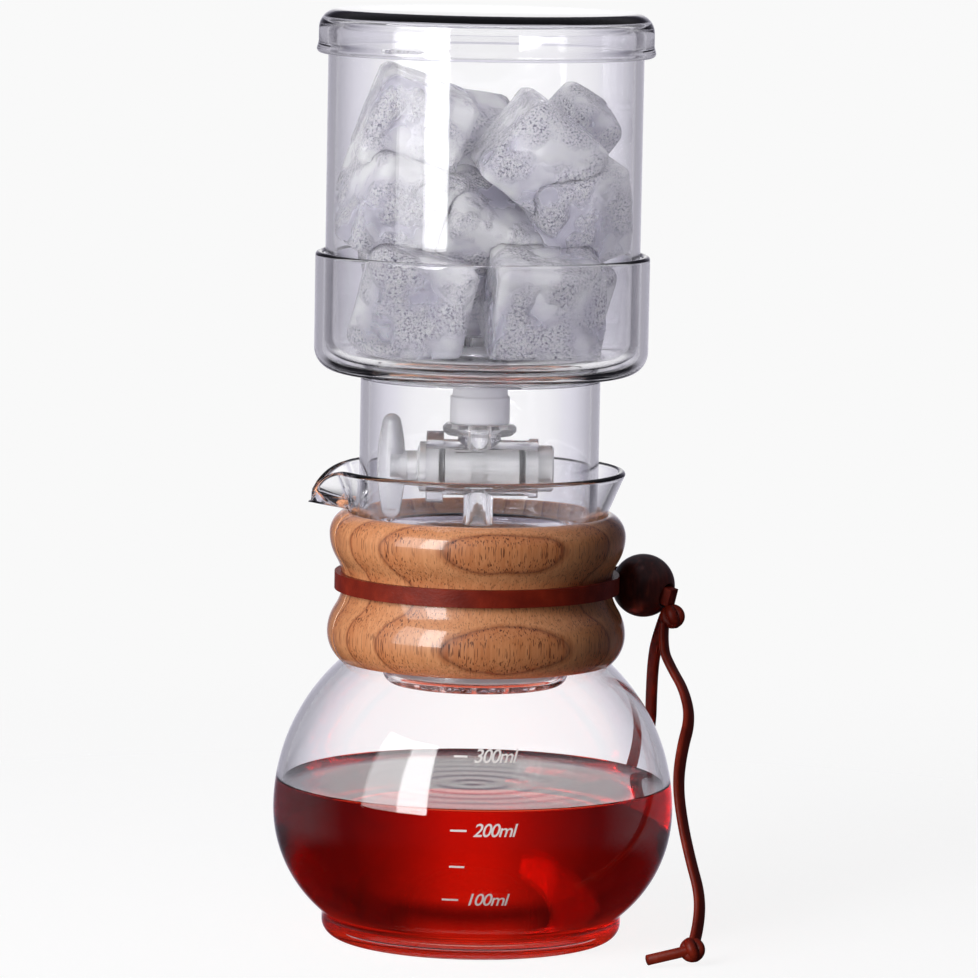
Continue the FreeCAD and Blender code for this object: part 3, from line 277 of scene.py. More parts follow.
around = add_node(
    air, "Mix", {"Factor": whole_ceiling.outputs[0], "A": sides.outputs["Result"], "B": linear(CEILING)},
    data_type="RGBA",
)
print(f"ceiling from {CEILING_RISE[0]} up, dark from {TABLE_FALL[0]} down")

# %% [markdown]
# ## Light on matt surfaces
#
# Wood, leather and frost are lit by a soft sky of their own, which comes from the left and leaves
# the right side in shade. Behind glass it is paler, more even and stronger: ice passes light on
# from cube to cube, more often than light is followed here.

# %% Light on matt surfaces
SKY_SIDE = (-0.90, -0.30, 0.32)
SKY = ((0.54, "#0A090C"), (0.78, "#979497"), (1.0, "#FFFDFA"))
SKY_TOP, SKY_TOP_SHARE = "#5A575C", 0.6
INNER_SKY = ((0.15, "#BAB8C2"), (0.85, "#FFFFFF"))
BEHIND_GLASS = 1.5
SKY_STRENGTH, INNER_STRENGTH, INNER_WALLS = 1.0, (2.3, 3.9), (4.0, 8.0)

towards_light = add_node(air, "VectorMath", {0: direction, 1: SKY_SIDE}, operation="DOT_PRODUCT")
brighter = add_node(air, "MapRange", {"Value": towards_light.outputs["Value"], "From Min": -1.0})
side_sky = add_node(air, "ValToRGB", {"Fac": brighter.outputs["Result"]}, stops=SKY)
top_share = add_node(air, "Math", {0: overhead.outputs["Result"], 1: SKY_TOP_SHARE}, operation="MULTIPLY")
sky = add_node(
    air, "Mix", {"Factor": top_share.outputs[0], "A": side_sky.outputs["Color"], "B": linear(SKY_TOP)},
    data_type="RGBA",
)
behind_glass = add_node(air, "Math", {0: crossings, 1: BEHIND_GLASS}, operation="GREATER_THAN")
inner_sky = add_node(air, "ValToRGB", {"Fac": brighter.outputs["Result"]}, stops=INNER_SKY)
matt_sky = add_node(
    air, "Mix",
    {"Factor": behind_glass.outputs[0], "A": sky.outputs["Result"], "B": inner_sky.outputs["Color"]},
    data_type="RGBA",
)
inner_level = add_node(
    air, "MapRange",
    {"Value": crossings, "From Min": INNER_WALLS[0], "From Max": INNER_WALLS[1],
     "To Min": INNER_STRENGTH[0], "To Max": INNER_STRENGTH[1]},
)
matt_level = add_node(
    air, "Mix", {"Factor": behind_glass.outputs[0], "A": SKY_STRENGTH, "B": inner_level.outputs["Result"]},
)
print(f"sky {SKY_STRENGTH} strong outside and up to {INNER_STRENGTH[1]} behind glass")

# %% [markdown]
# ## What each ray meets
#
# A ray knows what it has met since it left the eye. One that left a matt surface takes the sky,
# one that came off glass or through it takes the room, and the eye itself sees plain near-white.

# %% What each ray meets
PAPER = "#F9F9F9"
PANEL_STRENGTH = 1.12

for_matt = add_node(air, "Math", {0: seen["Diffuse Depth"], 1: AT_ALL}, operation="GREATER_THAN")
lit = add_node(
    air, "Mix",
    {"Factor": for_matt.outputs[0], "A": around.outputs["Result"], "B": matt_sky.outputs["Result"]},
    data_type="RGBA",
)
for_eye = add_node(
    air, "Mix", {"Factor": seen["Is Camera Ray"], "A": lit.outputs["Result"], "B": linear(PAPER)},
    data_type="RGBA",
)
panel_level = add_node(
    air, "Mix", {"Factor": for_matt.outputs[0], "A": PANEL_STRENGTH, "B": matt_level.outputs["Result"]},
)
level = add_node(
    air, "Mix", {"Factor": seen["Is Camera Ray"], "A": panel_level.outputs["Result"], "B": 1.0},
)
background = air.nodes["Background"]
air.links.new(for_eye.outputs["Result"], background.inputs["Color"])
air.links.new(level.outputs["Result"], background.inputs["Strength"])
print(f"surroundings: {len(air.nodes)} nodes")

# %% [markdown]
# ## Lamps
#
# A tall, narrow softbox stands to the front left, and a wider, weaker panel beside it. Their sizes
# and places come from the streaks that they leave: on an upright cylinder a reflection turns twice
# as fast as the surface, so a streak from 13 to 22 degrees round the jar means a lamp from 26 to 44
# degrees round the room.

# %% Lamps
LAMPS = (
    ("softbox_left", (-602, -860, 545), (330, 890), 8.5),
    ("panel_left", (-860, -602, 545), (410, 890), 3.6),
)
LIT = Vector((0, 0, 545)) * MM
for name, place, size, power in LAMPS:
    lamp = bpy.data.lights.new(name, "AREA")
    lamp.shape = "RECTANGLE"
    lamp.size, lamp.size_y = (side * MM for side in size)
    lamp.energy = power
    stand = bpy.data.objects.new(name, lamp)
    stand.matrix_world = look(Vector(place) * MM, LIT, 0)
    bpy.context.scene.collection.objects.link(stand)
print(f"{len(LAMPS)} lamps")

# %% [markdown]
# ## Floor
#
# The floor is a round sheet of white paper. Near the tower it takes the shadow; further out it
# turns clear, so that no edge of it shows from any side. Most of the light that the eye sees on it
# is its own, because paper lit only by the lamps would need far too much light on the tower. Glass
# looks past it to the room, or the coffee would wear a grey veil.

# %% Floor
FLOOR_RADIUS, FLOOR_CORNERS = 520, 96
SHADOW_RADIUS = 170
CLEAR_AT = 0.96
OWN_LIGHT = 0.87
REFLECTED = "#747476"

sheet = bmesh.new()
bmesh.ops.create_circle(sheet, cap_ends=True, segments=FLOOR_CORNERS, radius=FLOOR_RADIUS * MM)
floor_mesh = bpy.data.meshes.new("floor")
sheet.to_mesh(floor_mesh)
sheet.free()
floor = bpy.data.objects.new("floor", floor_mesh)
bpy.context.scene.collection.objects.link(floor)

paper = bpy.data.materials.new("matt white paper")
paper.use_nodes = True
tree = paper.node_tree
tree.nodes.remove(tree.nodes["Principled BSDF"])
reached = add_node(tree, "VectorMath", {0: add_node(tree, "TexCoord").outputs["Object"]}, operation="LENGTH")
clear = add_node(
    tree, "MapRange",
    {"Value": reached.outputs["Value"], "From Min": SHADOW_RADIUS * MM,
     "From Max": FLOOR_RADIUS * MM * CLEAR_AT},
    interpolation_type="SMOOTHSTEP",
)
seen = add_node(tree, "LightPath").outputs
shown = add_node(tree, "Math", {0: seen["Diffuse Depth"], 1: AT_ALL}, operation="LESS_THAN")
own = add_node(tree, "Math", {0: shown.outputs[0], 1: OWN_LIGHT}, operation="MULTIPLY")
glow = add_node(tree, "Emission", {"Color": linear("#FFFFFF"), "Strength": own.outputs[0]})
matt = add_node(tree, "BsdfDiffuse", {"Color": linear(REFLECTED)})
lit_paper = add_node(tree, "AddShader", {0: glow.outputs[0], 1: matt.outputs[0]})
gone = add_node(tree, "BsdfTransparent")
glassy = add_node(
    tree, "Math", {0: seen["Glossy Depth"], 1: seen["Transmission Depth"]}, operation="ADD",
)
hidden = add_node(tree, "Math", {0: clear.outputs["Result"], 1: glassy.outputs[0]}, operation="MAXIMUM")
faded = add_node(tree, "MixShader", {"Fac": hidden.outputs[0], 1: lit_paper.outputs[0], 2: gone.outputs[0]})
tree.links.new(faded.outputs[0], tree.nodes["Material Output"].inputs["Surface"])
floor_mesh.materials.append(paper)
print(f"floor {2 * FLOOR_RADIUS} mm wide")

# %% [markdown]
# ## Making pieces
#
# Nearly every piece was turned or blown, so one helper spins an outline about an upright axis
# and another turns arcs into points of that outline. Spinning leaves double vertices where the
# ends meet and on the axis, so they are merged before the normals are made to point outwards.
# Pieces that the frame already holds in full detail are dressed instead: a copy of the solid's
# loose triangles is merged, so that its curved faces can be shaded smoothly.

# %% Making pieces
TURNED_STEPS = 144
MERGE = 0.002


def arc(centre, radius, first, last, steps=8):
    """Points along an arc from one angle to another, in degrees."""
    angles = [math.radians(first + (last - first) * step / steps) for step in range(steps + 1)]
    return [(centre[0] + radius * math.cos(a), centre[1] + radius * math.sin(a)) for a in angles]


def turned(outline, steps=TURNED_STEPS, angle=360):
    """Spins an outline of (radius, height) in millimetres about the upright axis."""
    shape = bmesh.new()
    corners = [shape.verts.new((radius * MM, 0, height * MM)) for radius, height in outline]
    open_ended = outline[0][0] == 0 and outline[-1][0] == 0
    following = corners[1:] if open_ended else corners[1:] + corners[:1]
    edges = [shape.edges.new(pair) for pair in zip(corners, following)]
    whole = angle == 360
    bmesh.ops.spin(
        shape, geom=corners + edges, cent=(0, 0, 0), axis=(0, 0, 1), angle=math.radians(angle),
        steps=steps, use_merge=whole,
    )
    bmesh.ops.remove_doubles(shape, verts=shape.verts, dist=MERGE * MM)
    if not whole:
        bmesh.ops.holes_fill(shape, edges=[edge for edge in shape.edges if edge.is_boundary])
    bmesh.ops.recalc_face_normals(shape, faces=shape.faces)
    return shape


def finish_piece(shape, name, finish, body, slot, replaced=(), sharp=35):
    """Makes an object of a mesh, in its material, riding on its body."""
    if isinstance(shape, bmesh.types.BMesh):
        mesh = bpy.data.meshes.new(name)
        shape.to_mesh(mesh)
        shape.free()
    else:
        mesh = shape
    mesh.polygons.foreach_set("use_smooth", [True] * len(mesh.polygons))
    mesh.set_sharp_from_angle(angle=math.radians(sharp))
    mesh.materials.clear()
    mesh.materials.append(finish)
    piece = bpy.data.objects.new(name, mesh)
    bpy.context.scene.collection.objects.link(piece)
    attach(piece, body)
    if replaced:
        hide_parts(*replaced)
    # A straight glass wall shaded as if it leaned towards its round rim would hold light back.
    if slot == "clear_glass" and body != "carafe":
        piece.modifiers.new("even normals", "WEIGHTED_NORMAL").keep_sharp = True
    return piece


def merged_copy(node):
    """A solid's triangles with their shared corners joined."""
    shape = bmesh.new()
    shape.from_mesh(nodes[node].data)
    bmesh.ops.remove_doubles(shape, verts=shape.verts, dist=MERGE * MM)
    return shape


def dressed(node, finish, body, slot, sharp=30, edge=0):
    """A smoothly shaded copy of a solid, with its sharp edges broken by a small bevel."""
    piece = finish_piece(merged_copy(node), node + "_finish", finish, body, slot, (node,), sharp)
    if edge:
        rounding = piece.modifiers.new("edges", "BEVEL")
        rounding.width = edge * MM
        rounding.segments = 2
        rounding.limit_method = "ANGLE"
        rounding.angle_limit = math.radians(sharp)
    return piece


# %% [markdown]
# ## Glass
#
# Laboratory glass, borosilicate, blown and then fire-polished: quite clear face on, and faintly
# grey-violet where the eye looks along the wall. The tint is therefore in the volume, not on the
# surface, and it grows with the length of glass that the light crosses.

# %% Glass
GLASS_TINT, GLASS_DENSITY = "#B9B4CC", 20.0
# degrees: on blown glass, only a sharper fold than this shows as an edge
SOFT_EDGE = 60
glass, tree, shader = new_material(
    "fire-polished borosilicate glass", Base_Color=(1, 1, 1, 1), Roughness=0.0, IOR=1.47,
    Transmission_Weight=1.0,
)
tint = add_node(tree, "VolumeAbsorption", {"Color": linear(GLASS_TINT), "Density": GLASS_DENSITY})
tree.links.new(tint.outputs[0], tree.nodes["Material Output"].inputs["Volume"])
print(f"glass, refracting {shader.inputs['IOR'].default_value:.2f}")

# %% [markdown]
# ## Carafe
#
# A carafe is blown into a mould and its rim is opened out in the flame, so its wall follows one
# line of arcs that flow into each other: foot, bulb, neck and funnel. The same line, moved inwards
# by the wall, is the inside.

# %% The carafe's side
CARAFE_WALL = 1.8
BULB, BULB_HEIGHT = 51.2, 33.0
LOWER_CURVE = 34.0
FOOT, FOOT_BLEND, FOOT_CORNER = 38.4, 3.0, 4.0
FLOOR_GLASS, BASE_HOLLOW, STANDING_RING = 2.8, 0.8, 27.0
NECK, NECK_BLEND = 28.0, 6.0
FLARE, FUNNEL_SLOPE, FUNNEL_STEPS = 20.0, 23.3, 44
RIM, RIM_HEIGHT, RIM_ROUND = 37.8, 120.7, 1.0

lower_centre = (BULB - LOWER_CURVE, BULB_HEIGHT)
foot_blend_x = FOOT + FOOT_BLEND
foot_rise = math.sqrt((LOWER_CURVE + FOOT_BLEND) ** 2 - (foot_blend_x - lower_centre[0]) ** 2)
foot_centre = (foot_blend_x, BULB_HEIGHT - foot_rise)
foot_angle = math.degrees(math.atan2(-foot_rise, foot_blend_x - lower_centre[0]))
neck_rise = math.sqrt((BULB + NECK_BLEND) ** 2 - (NECK + NECK_BLEND) ** 2)
neck_centre = (NECK + NECK_BLEND, BULB_HEIGHT + neck_rise)
neck_angle = math.degrees(math.atan2(neck_rise, NECK + NECK_BLEND))
slope = math.radians(FUNNEL_SLOPE)
flare_height = (
    RIM_HEIGHT - (RIM - NECK - FLARE * (1 - math.cos(slope))) / math.tan(slope) - FLARE * math.sin(slope)
)


def run(first, last, steps):
    """Evenly spaced points from first to last."""
    return [
        tuple(a + (b - a) * step / steps for a, b in zip(first, last)) for step in range(steps + 1)
    ]


def bulb_line(inset, top_angle):
    """The side from the foot up round the bulb, moved inwards by inset."""
    return (
        arc(foot_centre, FOOT_BLEND + inset, 180, 180 + foot_angle, steps=6)
        + arc(lower_centre, LOWER_CURVE - inset, foot_angle, 0, steps=16)[1:]
        + arc((0, BULB_HEIGHT), BULB - inset, 0, top_angle, steps=24)[1:]
    )


def carafe_line(inset):
    """The whole side from the foot to just under the rim, moved inwards by inset."""
    flare = arc((NECK + FLARE, flare_height), FLARE + inset, 180, 180 - FUNNEL_SLOPE, steps=8)
    rim = (RIM - inset / math.cos(slope) - math.tan(slope) * RIM_ROUND, RIM_HEIGHT - RIM_ROUND)
    return (
        bulb_line(inset, neck_angle)
        + arc(neck_centre, NECK_BLEND + inset, 180 + neck_angle, 180, steps=8)[1:]
        + flare + run(flare[-1], rim, FUNNEL_STEPS)[1:]
    )


outside = carafe_line(0)
inside = carafe_line(CARAFE_WALL)
flare_end = outside[-FUNNEL_STEPS - 1]
print(f"the flare turns into the funnel {flare_end[1]:.1f} mm up")

# %% [markdown]
# ## Spout
#
# The spout is drawn out of the hot rim with a tool. Its form is a trough that widens from a point
# just outside the rim back to the funnel, with a flat-sloped round underside. So every point near
# the rim moves out to that trough, and the lip sinks along an arc.

# %% Spout
SPOUT_REACH, SPOUT_SPREAD, SPOUT_TIP = 44.4, 1.45, 1.1
SPOUT_DROP, SPOUT_FALL, SPOUT_BLEND = 9.5, 0.15, 0.5
SPOUT_ANGLE = math.radians(35)
LIP_START, LIP_CURVE, LIP_LEAST = 33.5, 9.9, 0.1
# the trough's radius is found by halving a span that starts this far from the axis
NEAREST, HALVINGS = 10.0, 24


def trough_radius(turn, height, inset):
    """How far out the spout's trough reaches in a direction and at a height, moved in by inset."""
    reach = SPOUT_REACH - inset * math.hypot(1, SPOUT_SPREAD) / SPOUT_SPREAD
    near, far = NEAREST, reach - SPOUT_TIP
    for _ in range(HALVINGS):
        radius = (near + far) / 2
        back = reach - radius * math.cos(turn)
        half = back * SPOUT_SPREAD
        above = height - (RIM_HEIGHT - SPOUT_DROP - back * SPOUT_FALL + inset)
        width = half if above > half else math.sqrt(max(2 * half * above - above ** 2, 0))
        if above > 0 and radius * math.sin(turn) < width:
            near = radius
        else:
            far = radius
    return near


def funnel_radius(height, inset):
    """The plain funnel's radius at a height, moved inwards by inset."""
    return RIM - (RIM_HEIGHT - height) * math.tan(slope) - inset / math.cos(slope)


def draw_spout(shape):
    """Moves the funnel's wall out to the trough of the spout, on the -X side."""
    low = RIM_HEIGHT - SPOUT_DROP
    for vert in shape.verts:
        x, y, z = (part / MM for part in vert.co)
        turn = abs(math.atan2(y, -x))
        if z < flare_end[1] or turn > SPOUT_ANGLE or math.hypot(x, y) < NECK:
            continue
        at_rim = max(z - RIM_HEIGHT + RIM_ROUND, 0)
        wall_height = z - at_rim
        inner, outer = (funnel_radius(wall_height, inset) for inset in (CARAFE_WALL, 0))
        share = (math.hypot(x, y) - inner) / (outer - inner)
        beyond = max(trough_radius(turn, RIM_HEIGHT, 0), RIM) * math.cos(turn) - LIP_START
        beyond = min(max(beyond, 0), LIP_CURVE)
        drop = LIP_CURVE - math.sqrt(LIP_CURVE ** 2 - beyond ** 2)
        if wall_height > low:
            room = RIM_HEIGHT - RIM_ROUND - low
            wall_height = low + (wall_height - low) * max(room - drop, LIP_LEAST) / room
        sides = []
        for inset in (CARAFE_WALL, 0):
            plain = funnel_radius(wall_height, inset)
            drawn = trough_radius(turn, wall_height, inset)
            more = max(SPOUT_BLEND - abs(drawn - plain), 0) ** 2 / (4 * SPOUT_BLEND)
            sides.append(max(plain, drawn) + more)
        radius = sides[0] + (sides[1] - sides[0]) * share
        out, across = radius * math.cos(turn), radius * math.sin(turn)
        vert.co = Vector((-out, math.copysign(across, y), wall_height + at_rim)) * MM


print(f"spout {SPOUT_REACH - RIM:.1f} mm past the rim")

# %% [markdown]
# ## The carafe's glass
#
# The outline goes once round the section of the wall: under the foot, up the outside, over the
# fire-polished rim, down the inside and along the floor. It is spun, and the spout is drawn last.

# %% The carafe's glass
CARAFE_STEPS = 192

inner_corner = FOOT_CORNER - CARAFE_WALL
corner_x = FOOT - FOOT_CORNER
rim_middle = (outside[-1][0] + inside[-1][0]) / 2
carafe_outline = (
    [(0, BASE_HOLLOW)]
    + run((STANDING_RING - 1, BASE_HOLLOW), (STANDING_RING + BASE_HOLLOW, 0), steps=2)
    + arc((corner_x, FOOT_CORNER), FOOT_CORNER, -90, 0, steps=8)
    + outside
    + arc((rim_middle, RIM_HEIGHT - RIM_ROUND), outside[-1][0] - rim_middle, 12, 168, steps=8)
    + inside[::-1]
    + arc((corner_x, FLOOR_GLASS + inner_corner), inner_corner, 0, -90, steps=6)
    + [(0, FLOOR_GLASS)]
)
carafe_shape = turned(carafe_outline, CARAFE_STEPS)
draw_spout(carafe_shape)
carafe = finish_piece(
    carafe_shape, "carafe_glass", glass, "carafe", "clear_glass",
    ("carafe_base", "carafe_bulb", "carafe_neck"), sharp=SOFT_EDGE,
)
print(f"carafe wall: {len(carafe_outline)} points round, {len(carafe.data.polygons)} faces")

# %% [markdown]
# ## Coffee
#
# The coffee wets the glass, so no air shows between them: the liquid's side lies a little inside
# the wall, and its edge creeps up the glass in a small meniscus. Drops that fall in from the
# stopcock send low rings over the surface. Coffee is water with colour in its volume: red light
# passes through a glass of it, green and blue hardly get through the first centimetre.

# %% Coffee
COFFEE_LEVEL = 39.2
WETTING = 0.35
MENISCUS, MENISCUS_WIDTH = 1.5, 3.4
RING_LENGTH, RING_HEIGHT, RING_FADE = 7.5, 0.05, 26.0
SURFACE_STEPS = 96
COFFEE_TINT, COFFEE_DENSITY = "#F58A22", 76.0

coffee_inset = CARAFE_WALL - WETTING
coffee_angle = math.degrees(math.asin((COFFEE_LEVEL + MENISCUS - BULB_HEIGHT) / (BULB - coffee_inset)))
coffee_side = bulb_line(coffee_inset, coffee_angle)
coffee_corner = FOOT_CORNER - coffee_inset
edge_radius = coffee_side[-1][0]
surface = []
for step in range(1, SURFACE_STEPS + 1):
    radius = edge_radius * (1 - step / SURFACE_STEPS)
    creep = MENISCUS * math.exp(-(edge_radius - radius) / MENISCUS_WIDTH * 2)
    ring = RING_HEIGHT * math.cos(math.tau * radius / RING_LENGTH) * math.exp(-radius / RING_FADE)
    surface.append((radius, COFFEE_LEVEL + creep + ring))
coffee, tree, shader = new_material(
    "filtered black coffee", Base_Color=(1, 1, 1, 1), Roughness=0.0, IOR=1.33, Transmission_Weight=1.0,
)
stain = add_node(tree, "VolumeAbsorption", {"Color": linear(COFFEE_TINT), "Density": COFFEE_DENSITY})
tree.links.new(stain.outputs[0], tree.nodes["Material Output"].inputs["Volume"])
floor_level = FLOOR_GLASS - WETTING
coffee_outline = (
    [(0, floor_level)] + arc((corner_x, floor_level + coffee_corner), coffee_corner, -90, 0, steps=6)
    + coffee_side + surface[:-1] + [(0, surface[-1][1])]
)
coffee_shape = turned(coffee_outline)
print(f"coffee: {coffee_shape.calc_volume() / MM ** 3 / 1000:.0f} ml")
finish_piece(
    coffee_shape, "coffee_in_carafe", coffee, "carafe", "coffee", ("brewed_coffee",), sharp=SOFT_EDGE,
)

# %% [markdown]
# ## Brew cup
# One piece of glass: a tray for the jar, a tube, a shoulder that rests in the funnel, and a lower
# part with a flat floor. Its wall is spun like the carafe's.
# a boolean with a ring of pins.

# %% Brew cup
CUP_WALL = 2.0
cup_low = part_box("cup_floor")[0] / MM
CUP_TUBE, CUP_SHOULDER, SHOULDER_EDGE = 30.5, 5.5, 1.5
BASKET, BASKET_END, BASKET_CORNER, BASKET_DEPTH = 24.5, 23.6, 3.2, 45.1
TRAY, TRAY_CORNER, TRAY_BLEND, TRAY_EDGE, TRAY_HEIGHT = 42.5, 6.0, 2.0, 1.2, 30.4
TUBE_LENGTH = 35.0

seat = cup_low.z + BASKET_DEPTH
curve_x = CUP_TUBE - CUP_SHOULDER
step_angle = math.degrees(math.acos((BASKET - curve_x) / CUP_SHOULDER))
tray_low = seat + TUBE_LENGTH
tray_top = tray_low + TRAY_HEIGHT
tray_floor = tray_low + CUP_WALL
tube_in = CUP_TUBE - CUP_WALL
basket_in = BASKET - CUP_WALL
basket_turn = (basket_in + SHOULDER_EDGE, seat - CUP_SHOULDER + CUP_WALL - SHOULDER_EDGE)
cup_outline = (
    [(0, cup_low.z)]
    + arc((BASKET_END - BASKET_CORNER, cup_low.z + BASKET_CORNER), BASKET_CORNER, -90, 0)
    + arc((curve_x, seat), CUP_SHOULDER, -step_angle, 0, steps=12)
    + arc((CUP_TUBE + TRAY_BLEND, tray_low - TRAY_BLEND), TRAY_BLEND, 180, 90, steps=6)
    + arc((TRAY - TRAY_CORNER, tray_low + TRAY_CORNER), TRAY_CORNER, -90, 0, steps=10)
    + arc((TRAY - CUP_WALL / 2, tray_top - CUP_WALL / 2), CUP_WALL / 2, 0, 180, steps=8)
    + arc((TRAY - TRAY_CORNER, tray_low + TRAY_CORNER), TRAY_CORNER - CUP_WALL, 0, -90, steps=10)
    + arc((tube_in + TRAY_EDGE, tray_floor - TRAY_EDGE), TRAY_EDGE, 90, 180, steps=4)
    + arc((curve_x, seat), CUP_SHOULDER - CUP_WALL, 0, -90, steps=8)
    + arc(basket_turn, SHOULDER_EDGE, 90, 180, steps=4)
    + arc((BASKET_END - BASKET_CORNER, cup_low.z + BASKET_CORNER), BASKET_CORNER - CUP_WALL, 0, -90, steps=6)
    + [(0, cup_low.z + CUP_WALL)]
)
brew_cup = finish_piece(
    turned(cup_outline), "brew_cup_glass", glass, "brew_cup", "clear_glass",
    ("cup_floor", "cup_basket", "cup_tube", "cup_tray"), sharp=SOFT_EDGE,
)
print(f"brew cup {tray_top - cup_low.z:.1f} mm high")

# %% [markdown]
# ## Drip holes
#
# The coffee leaves the cup through rings of small holes in its floor. Holes in a spun shape are
# easiest as a boolean: a pin stands in the place of each, and all of them are cut away at once.

# %% Drip holes
HOLE, HOLE_RINGS = 1.1, ((0, 1), (7.0, 6), (14.0, 12))
PIN_SIDES, PIN_LENGTH = 20, CUP_WALL * 3

pins = bmesh.new()
for ring_radius, count in HOLE_RINGS:
    for number in range(count):
        turn = math.tau * number / count
        middle = Vector((ring_radius * math.cos(turn), ring_radius * math.sin(turn), cup_low.z)) * MM
        bmesh.ops.create_cone(
            pins, cap_ends=True, segments=PIN_SIDES, radius1=HOLE * MM, radius2=HOLE * MM,
            depth=PIN_LENGTH * MM, matrix=Matrix.Translation(middle),
        )
pin_mesh = bpy.data.meshes.new("pins")
pins.to_mesh(pin_mesh)
pins.free()
pin_object = bpy.data.objects.new("pins", pin_mesh)
bpy.context.scene.collection.objects.link(pin_object)
cutter = brew_cup.modifiers.new("drip holes", "BOOLEAN")
cutter.operation = "DIFFERENCE"
cutter.object = pin_object
bpy.context.view_layer.update()
holed = brew_cup.evaluated_get(bpy.context.evaluated_depsgraph_get())
cut_mesh = bpy.data.meshes.new_from_object(holed)
brew_cup.modifiers.clear()
brew_cup.data = cut_mesh
cut_mesh.set_sharp_from_angle(angle=math.radians(SOFT_EDGE))
bpy.data.objects.remove(pin_object)
print(f"brew cup: {sum(count for _, count in HOLE_RINGS)} drip holes")

# %% [markdown]
# ## Ice jar and lid
#
# Two straight tubes with a floor and a top, of the same glass. Their edges are fire-polished, so
# they end in half rounds. The lid's skirt ends in a small bead that keeps it from chipping.

# %% Ice jar and lid
JAR, JAR_WALL, JAR_FLOOR, JAR_CORNER, JAR_HOLE = 40.0, 2.0, 2.5, 6.5, 7.3
LID, LID_WALL, LID_TOP, LID_CORNER, LID_INNER = 42.5, 2.0, 2.3, 5.0, 1.5
# the bead runs out into the skirt through one point: shares of its swell and of its height
LID_BEAD, LID_BEAD_HEIGHT, BEAD_FADE = 0.45, 3.0, (0.4, 0.75)
jar_low, jar_high = (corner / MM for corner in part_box("ice_jar"))
lid_low, lid_high = (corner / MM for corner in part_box("lid"))
half_wall = JAR_WALL / 2
jar_outline = (
    [(JAR_HOLE, jar_low.z)]
    + arc((JAR - JAR_CORNER, jar_low.z + JAR_CORNER), JAR_CORNER, -90, 0, steps=10)
    + arc((JAR - half_wall, jar_high.z - half_wall), half_wall, 0, 180, steps=8)
    + arc((JAR - JAR_CORNER, jar_low.z + JAR_CORNER), JAR_CORNER - JAR_WALL, 0, -90, steps=10)
    + [(JAR_HOLE, jar_low.z + JAR_FLOOR)]
)
finish_piece(
    turned(jar_outline), "ice_jar_glass", glass, "ice_jar", "clear_glass", ("ice_jar",), sharp=SOFT_EDGE,
)

bead_half = (LID_WALL + LID_BEAD) / 2
lid_in = LID - LID_WALL
lid_under = lid_high.z - LID_TOP
lid_outline = (
    [(0, lid_under)]
    + arc((lid_in - LID_INNER, lid_under - LID_INNER), LID_INNER, 90, 0, steps=6)
    + arc((lid_in + bead_half, lid_low.z + bead_half), bead_half, 180, 360, steps=12)
    + [(LID + LID_BEAD * BEAD_FADE[0], lid_low.z + LID_BEAD_HEIGHT * BEAD_FADE[1])]
    + [(LID, lid_low.z + LID_BEAD_HEIGHT)]
    + arc((LID - LID_CORNER, lid_high.z - LID_CORNER), LID_CORNER, 0, 90, steps=10)
    + [(0, lid_high.z)]
)
finish_piece(turned(lid_outline), "lid_glass", glass, "lid", "clear_glass", ("lid",), sharp=SOFT_EDGE)
print(f"jar {jar_high.z - jar_low.z:.1f} mm high, lid {lid_high.z - lid_low.z:.1f} mm")

# %% [markdown]
# ## Wooden collar
#
# The collar is turned from a red-brown hardwood with long fine pores, then sawn in two and
# varnished. The block's growth rings are upright shells about a pith that lies just behind the
# collar. Where the lathe cut through the frontmost shell, each bulge shows it as an oval, and the
# next shell swings in at the waist and out again. The pattern is worked out in the solid, not
# painted on the surface, so that figure comes by itself. Pores crowd on one side of each ring.

# %% Wooden collar
# the pith's place seen from above; sizes are in millimetres
PITH = (-7.6, 39.3)
RING_SPACING, RING_START = 5.9, 0.102
RING_TONES = (
    (0.0, "#5E2A14"), (0.022, "#9A5230"), (0.06, "#C27646"), (0.45, "#D18A58"), (0.90, "#DC9866"),
    (0.975, "#B06A3E"), (1.0, "#5E2A14"),
)
DRIFT_SIZE, DRIFT = (20, 20, 34), 2.6
FIBRE_SIZE, FIBRE_SHARE = (0.9, 0.9, 22.0), 0.36
FIBRE_TONES = ((0.34, "#B0663A"), (0.66, "#E4A272"))
PORE_SIZE, PORE_EDGE, PORE_TONE, PORE_DEPTH = (0.34, 0.34, 5.5), (0.59, 0.65), "#4A1E0D", 0.04
PORES_EARLY, PORES_LATE, LATE_FROM = 0.95, 0.45, 0.6

wood, tree, shader = new_material(
    "varnished red-brown hardwood", Roughness=0.42, Coat_Weight=0.9, Coat_Roughness=0.09,
)
drift = add_node(tree, "TexNoise", {"Vector": place_on(tree, DRIFT_SIZE), "Scale": 1.0, "Detail": 2.0})
flat_place = add_node(
    tree, "VectorMath", {0: place_on(tree, (1, 1, 1), (*PITH, 0)), 1: (1, 1, 0)}, operation="MULTIPLY",
)
from_pith = add_node(tree, "VectorMath", {0: flat_place.outputs["Vector"]}, operation="LENGTH")
bend = add_node(
    tree, "Math", {0: drift.outputs["Fac"], 1: DRIFT, 2: from_pith.outputs["Value"]},
    operation="MULTIPLY_ADD",
)
rings = add_node(
    tree, "Math", {0: bend.outputs[0], 1: 1 / RING_SPACING, 2: RING_START - DRIFT / 2 / RING_SPACING},
    operation="MULTIPLY_ADD",
)
ring = add_node(tree, "Math", {0: rings.outputs[0]}, operation="FRACT")
ring_tone = add_node(tree, "ValToRGB", {"Fac": ring.outputs[0]}, stops=RING_TONES)
fibres = add_node(
    tree, "TexNoise",
    {"Vector": place_on(tree, FIBRE_SIZE), "Scale": 1.0, "Detail": 4.0, "Roughness": 0.65},
)
fibre_tone = add_node(tree, "ValToRGB", {"Fac": fibres.outputs["Fac"]}, stops=FIBRE_TONES)
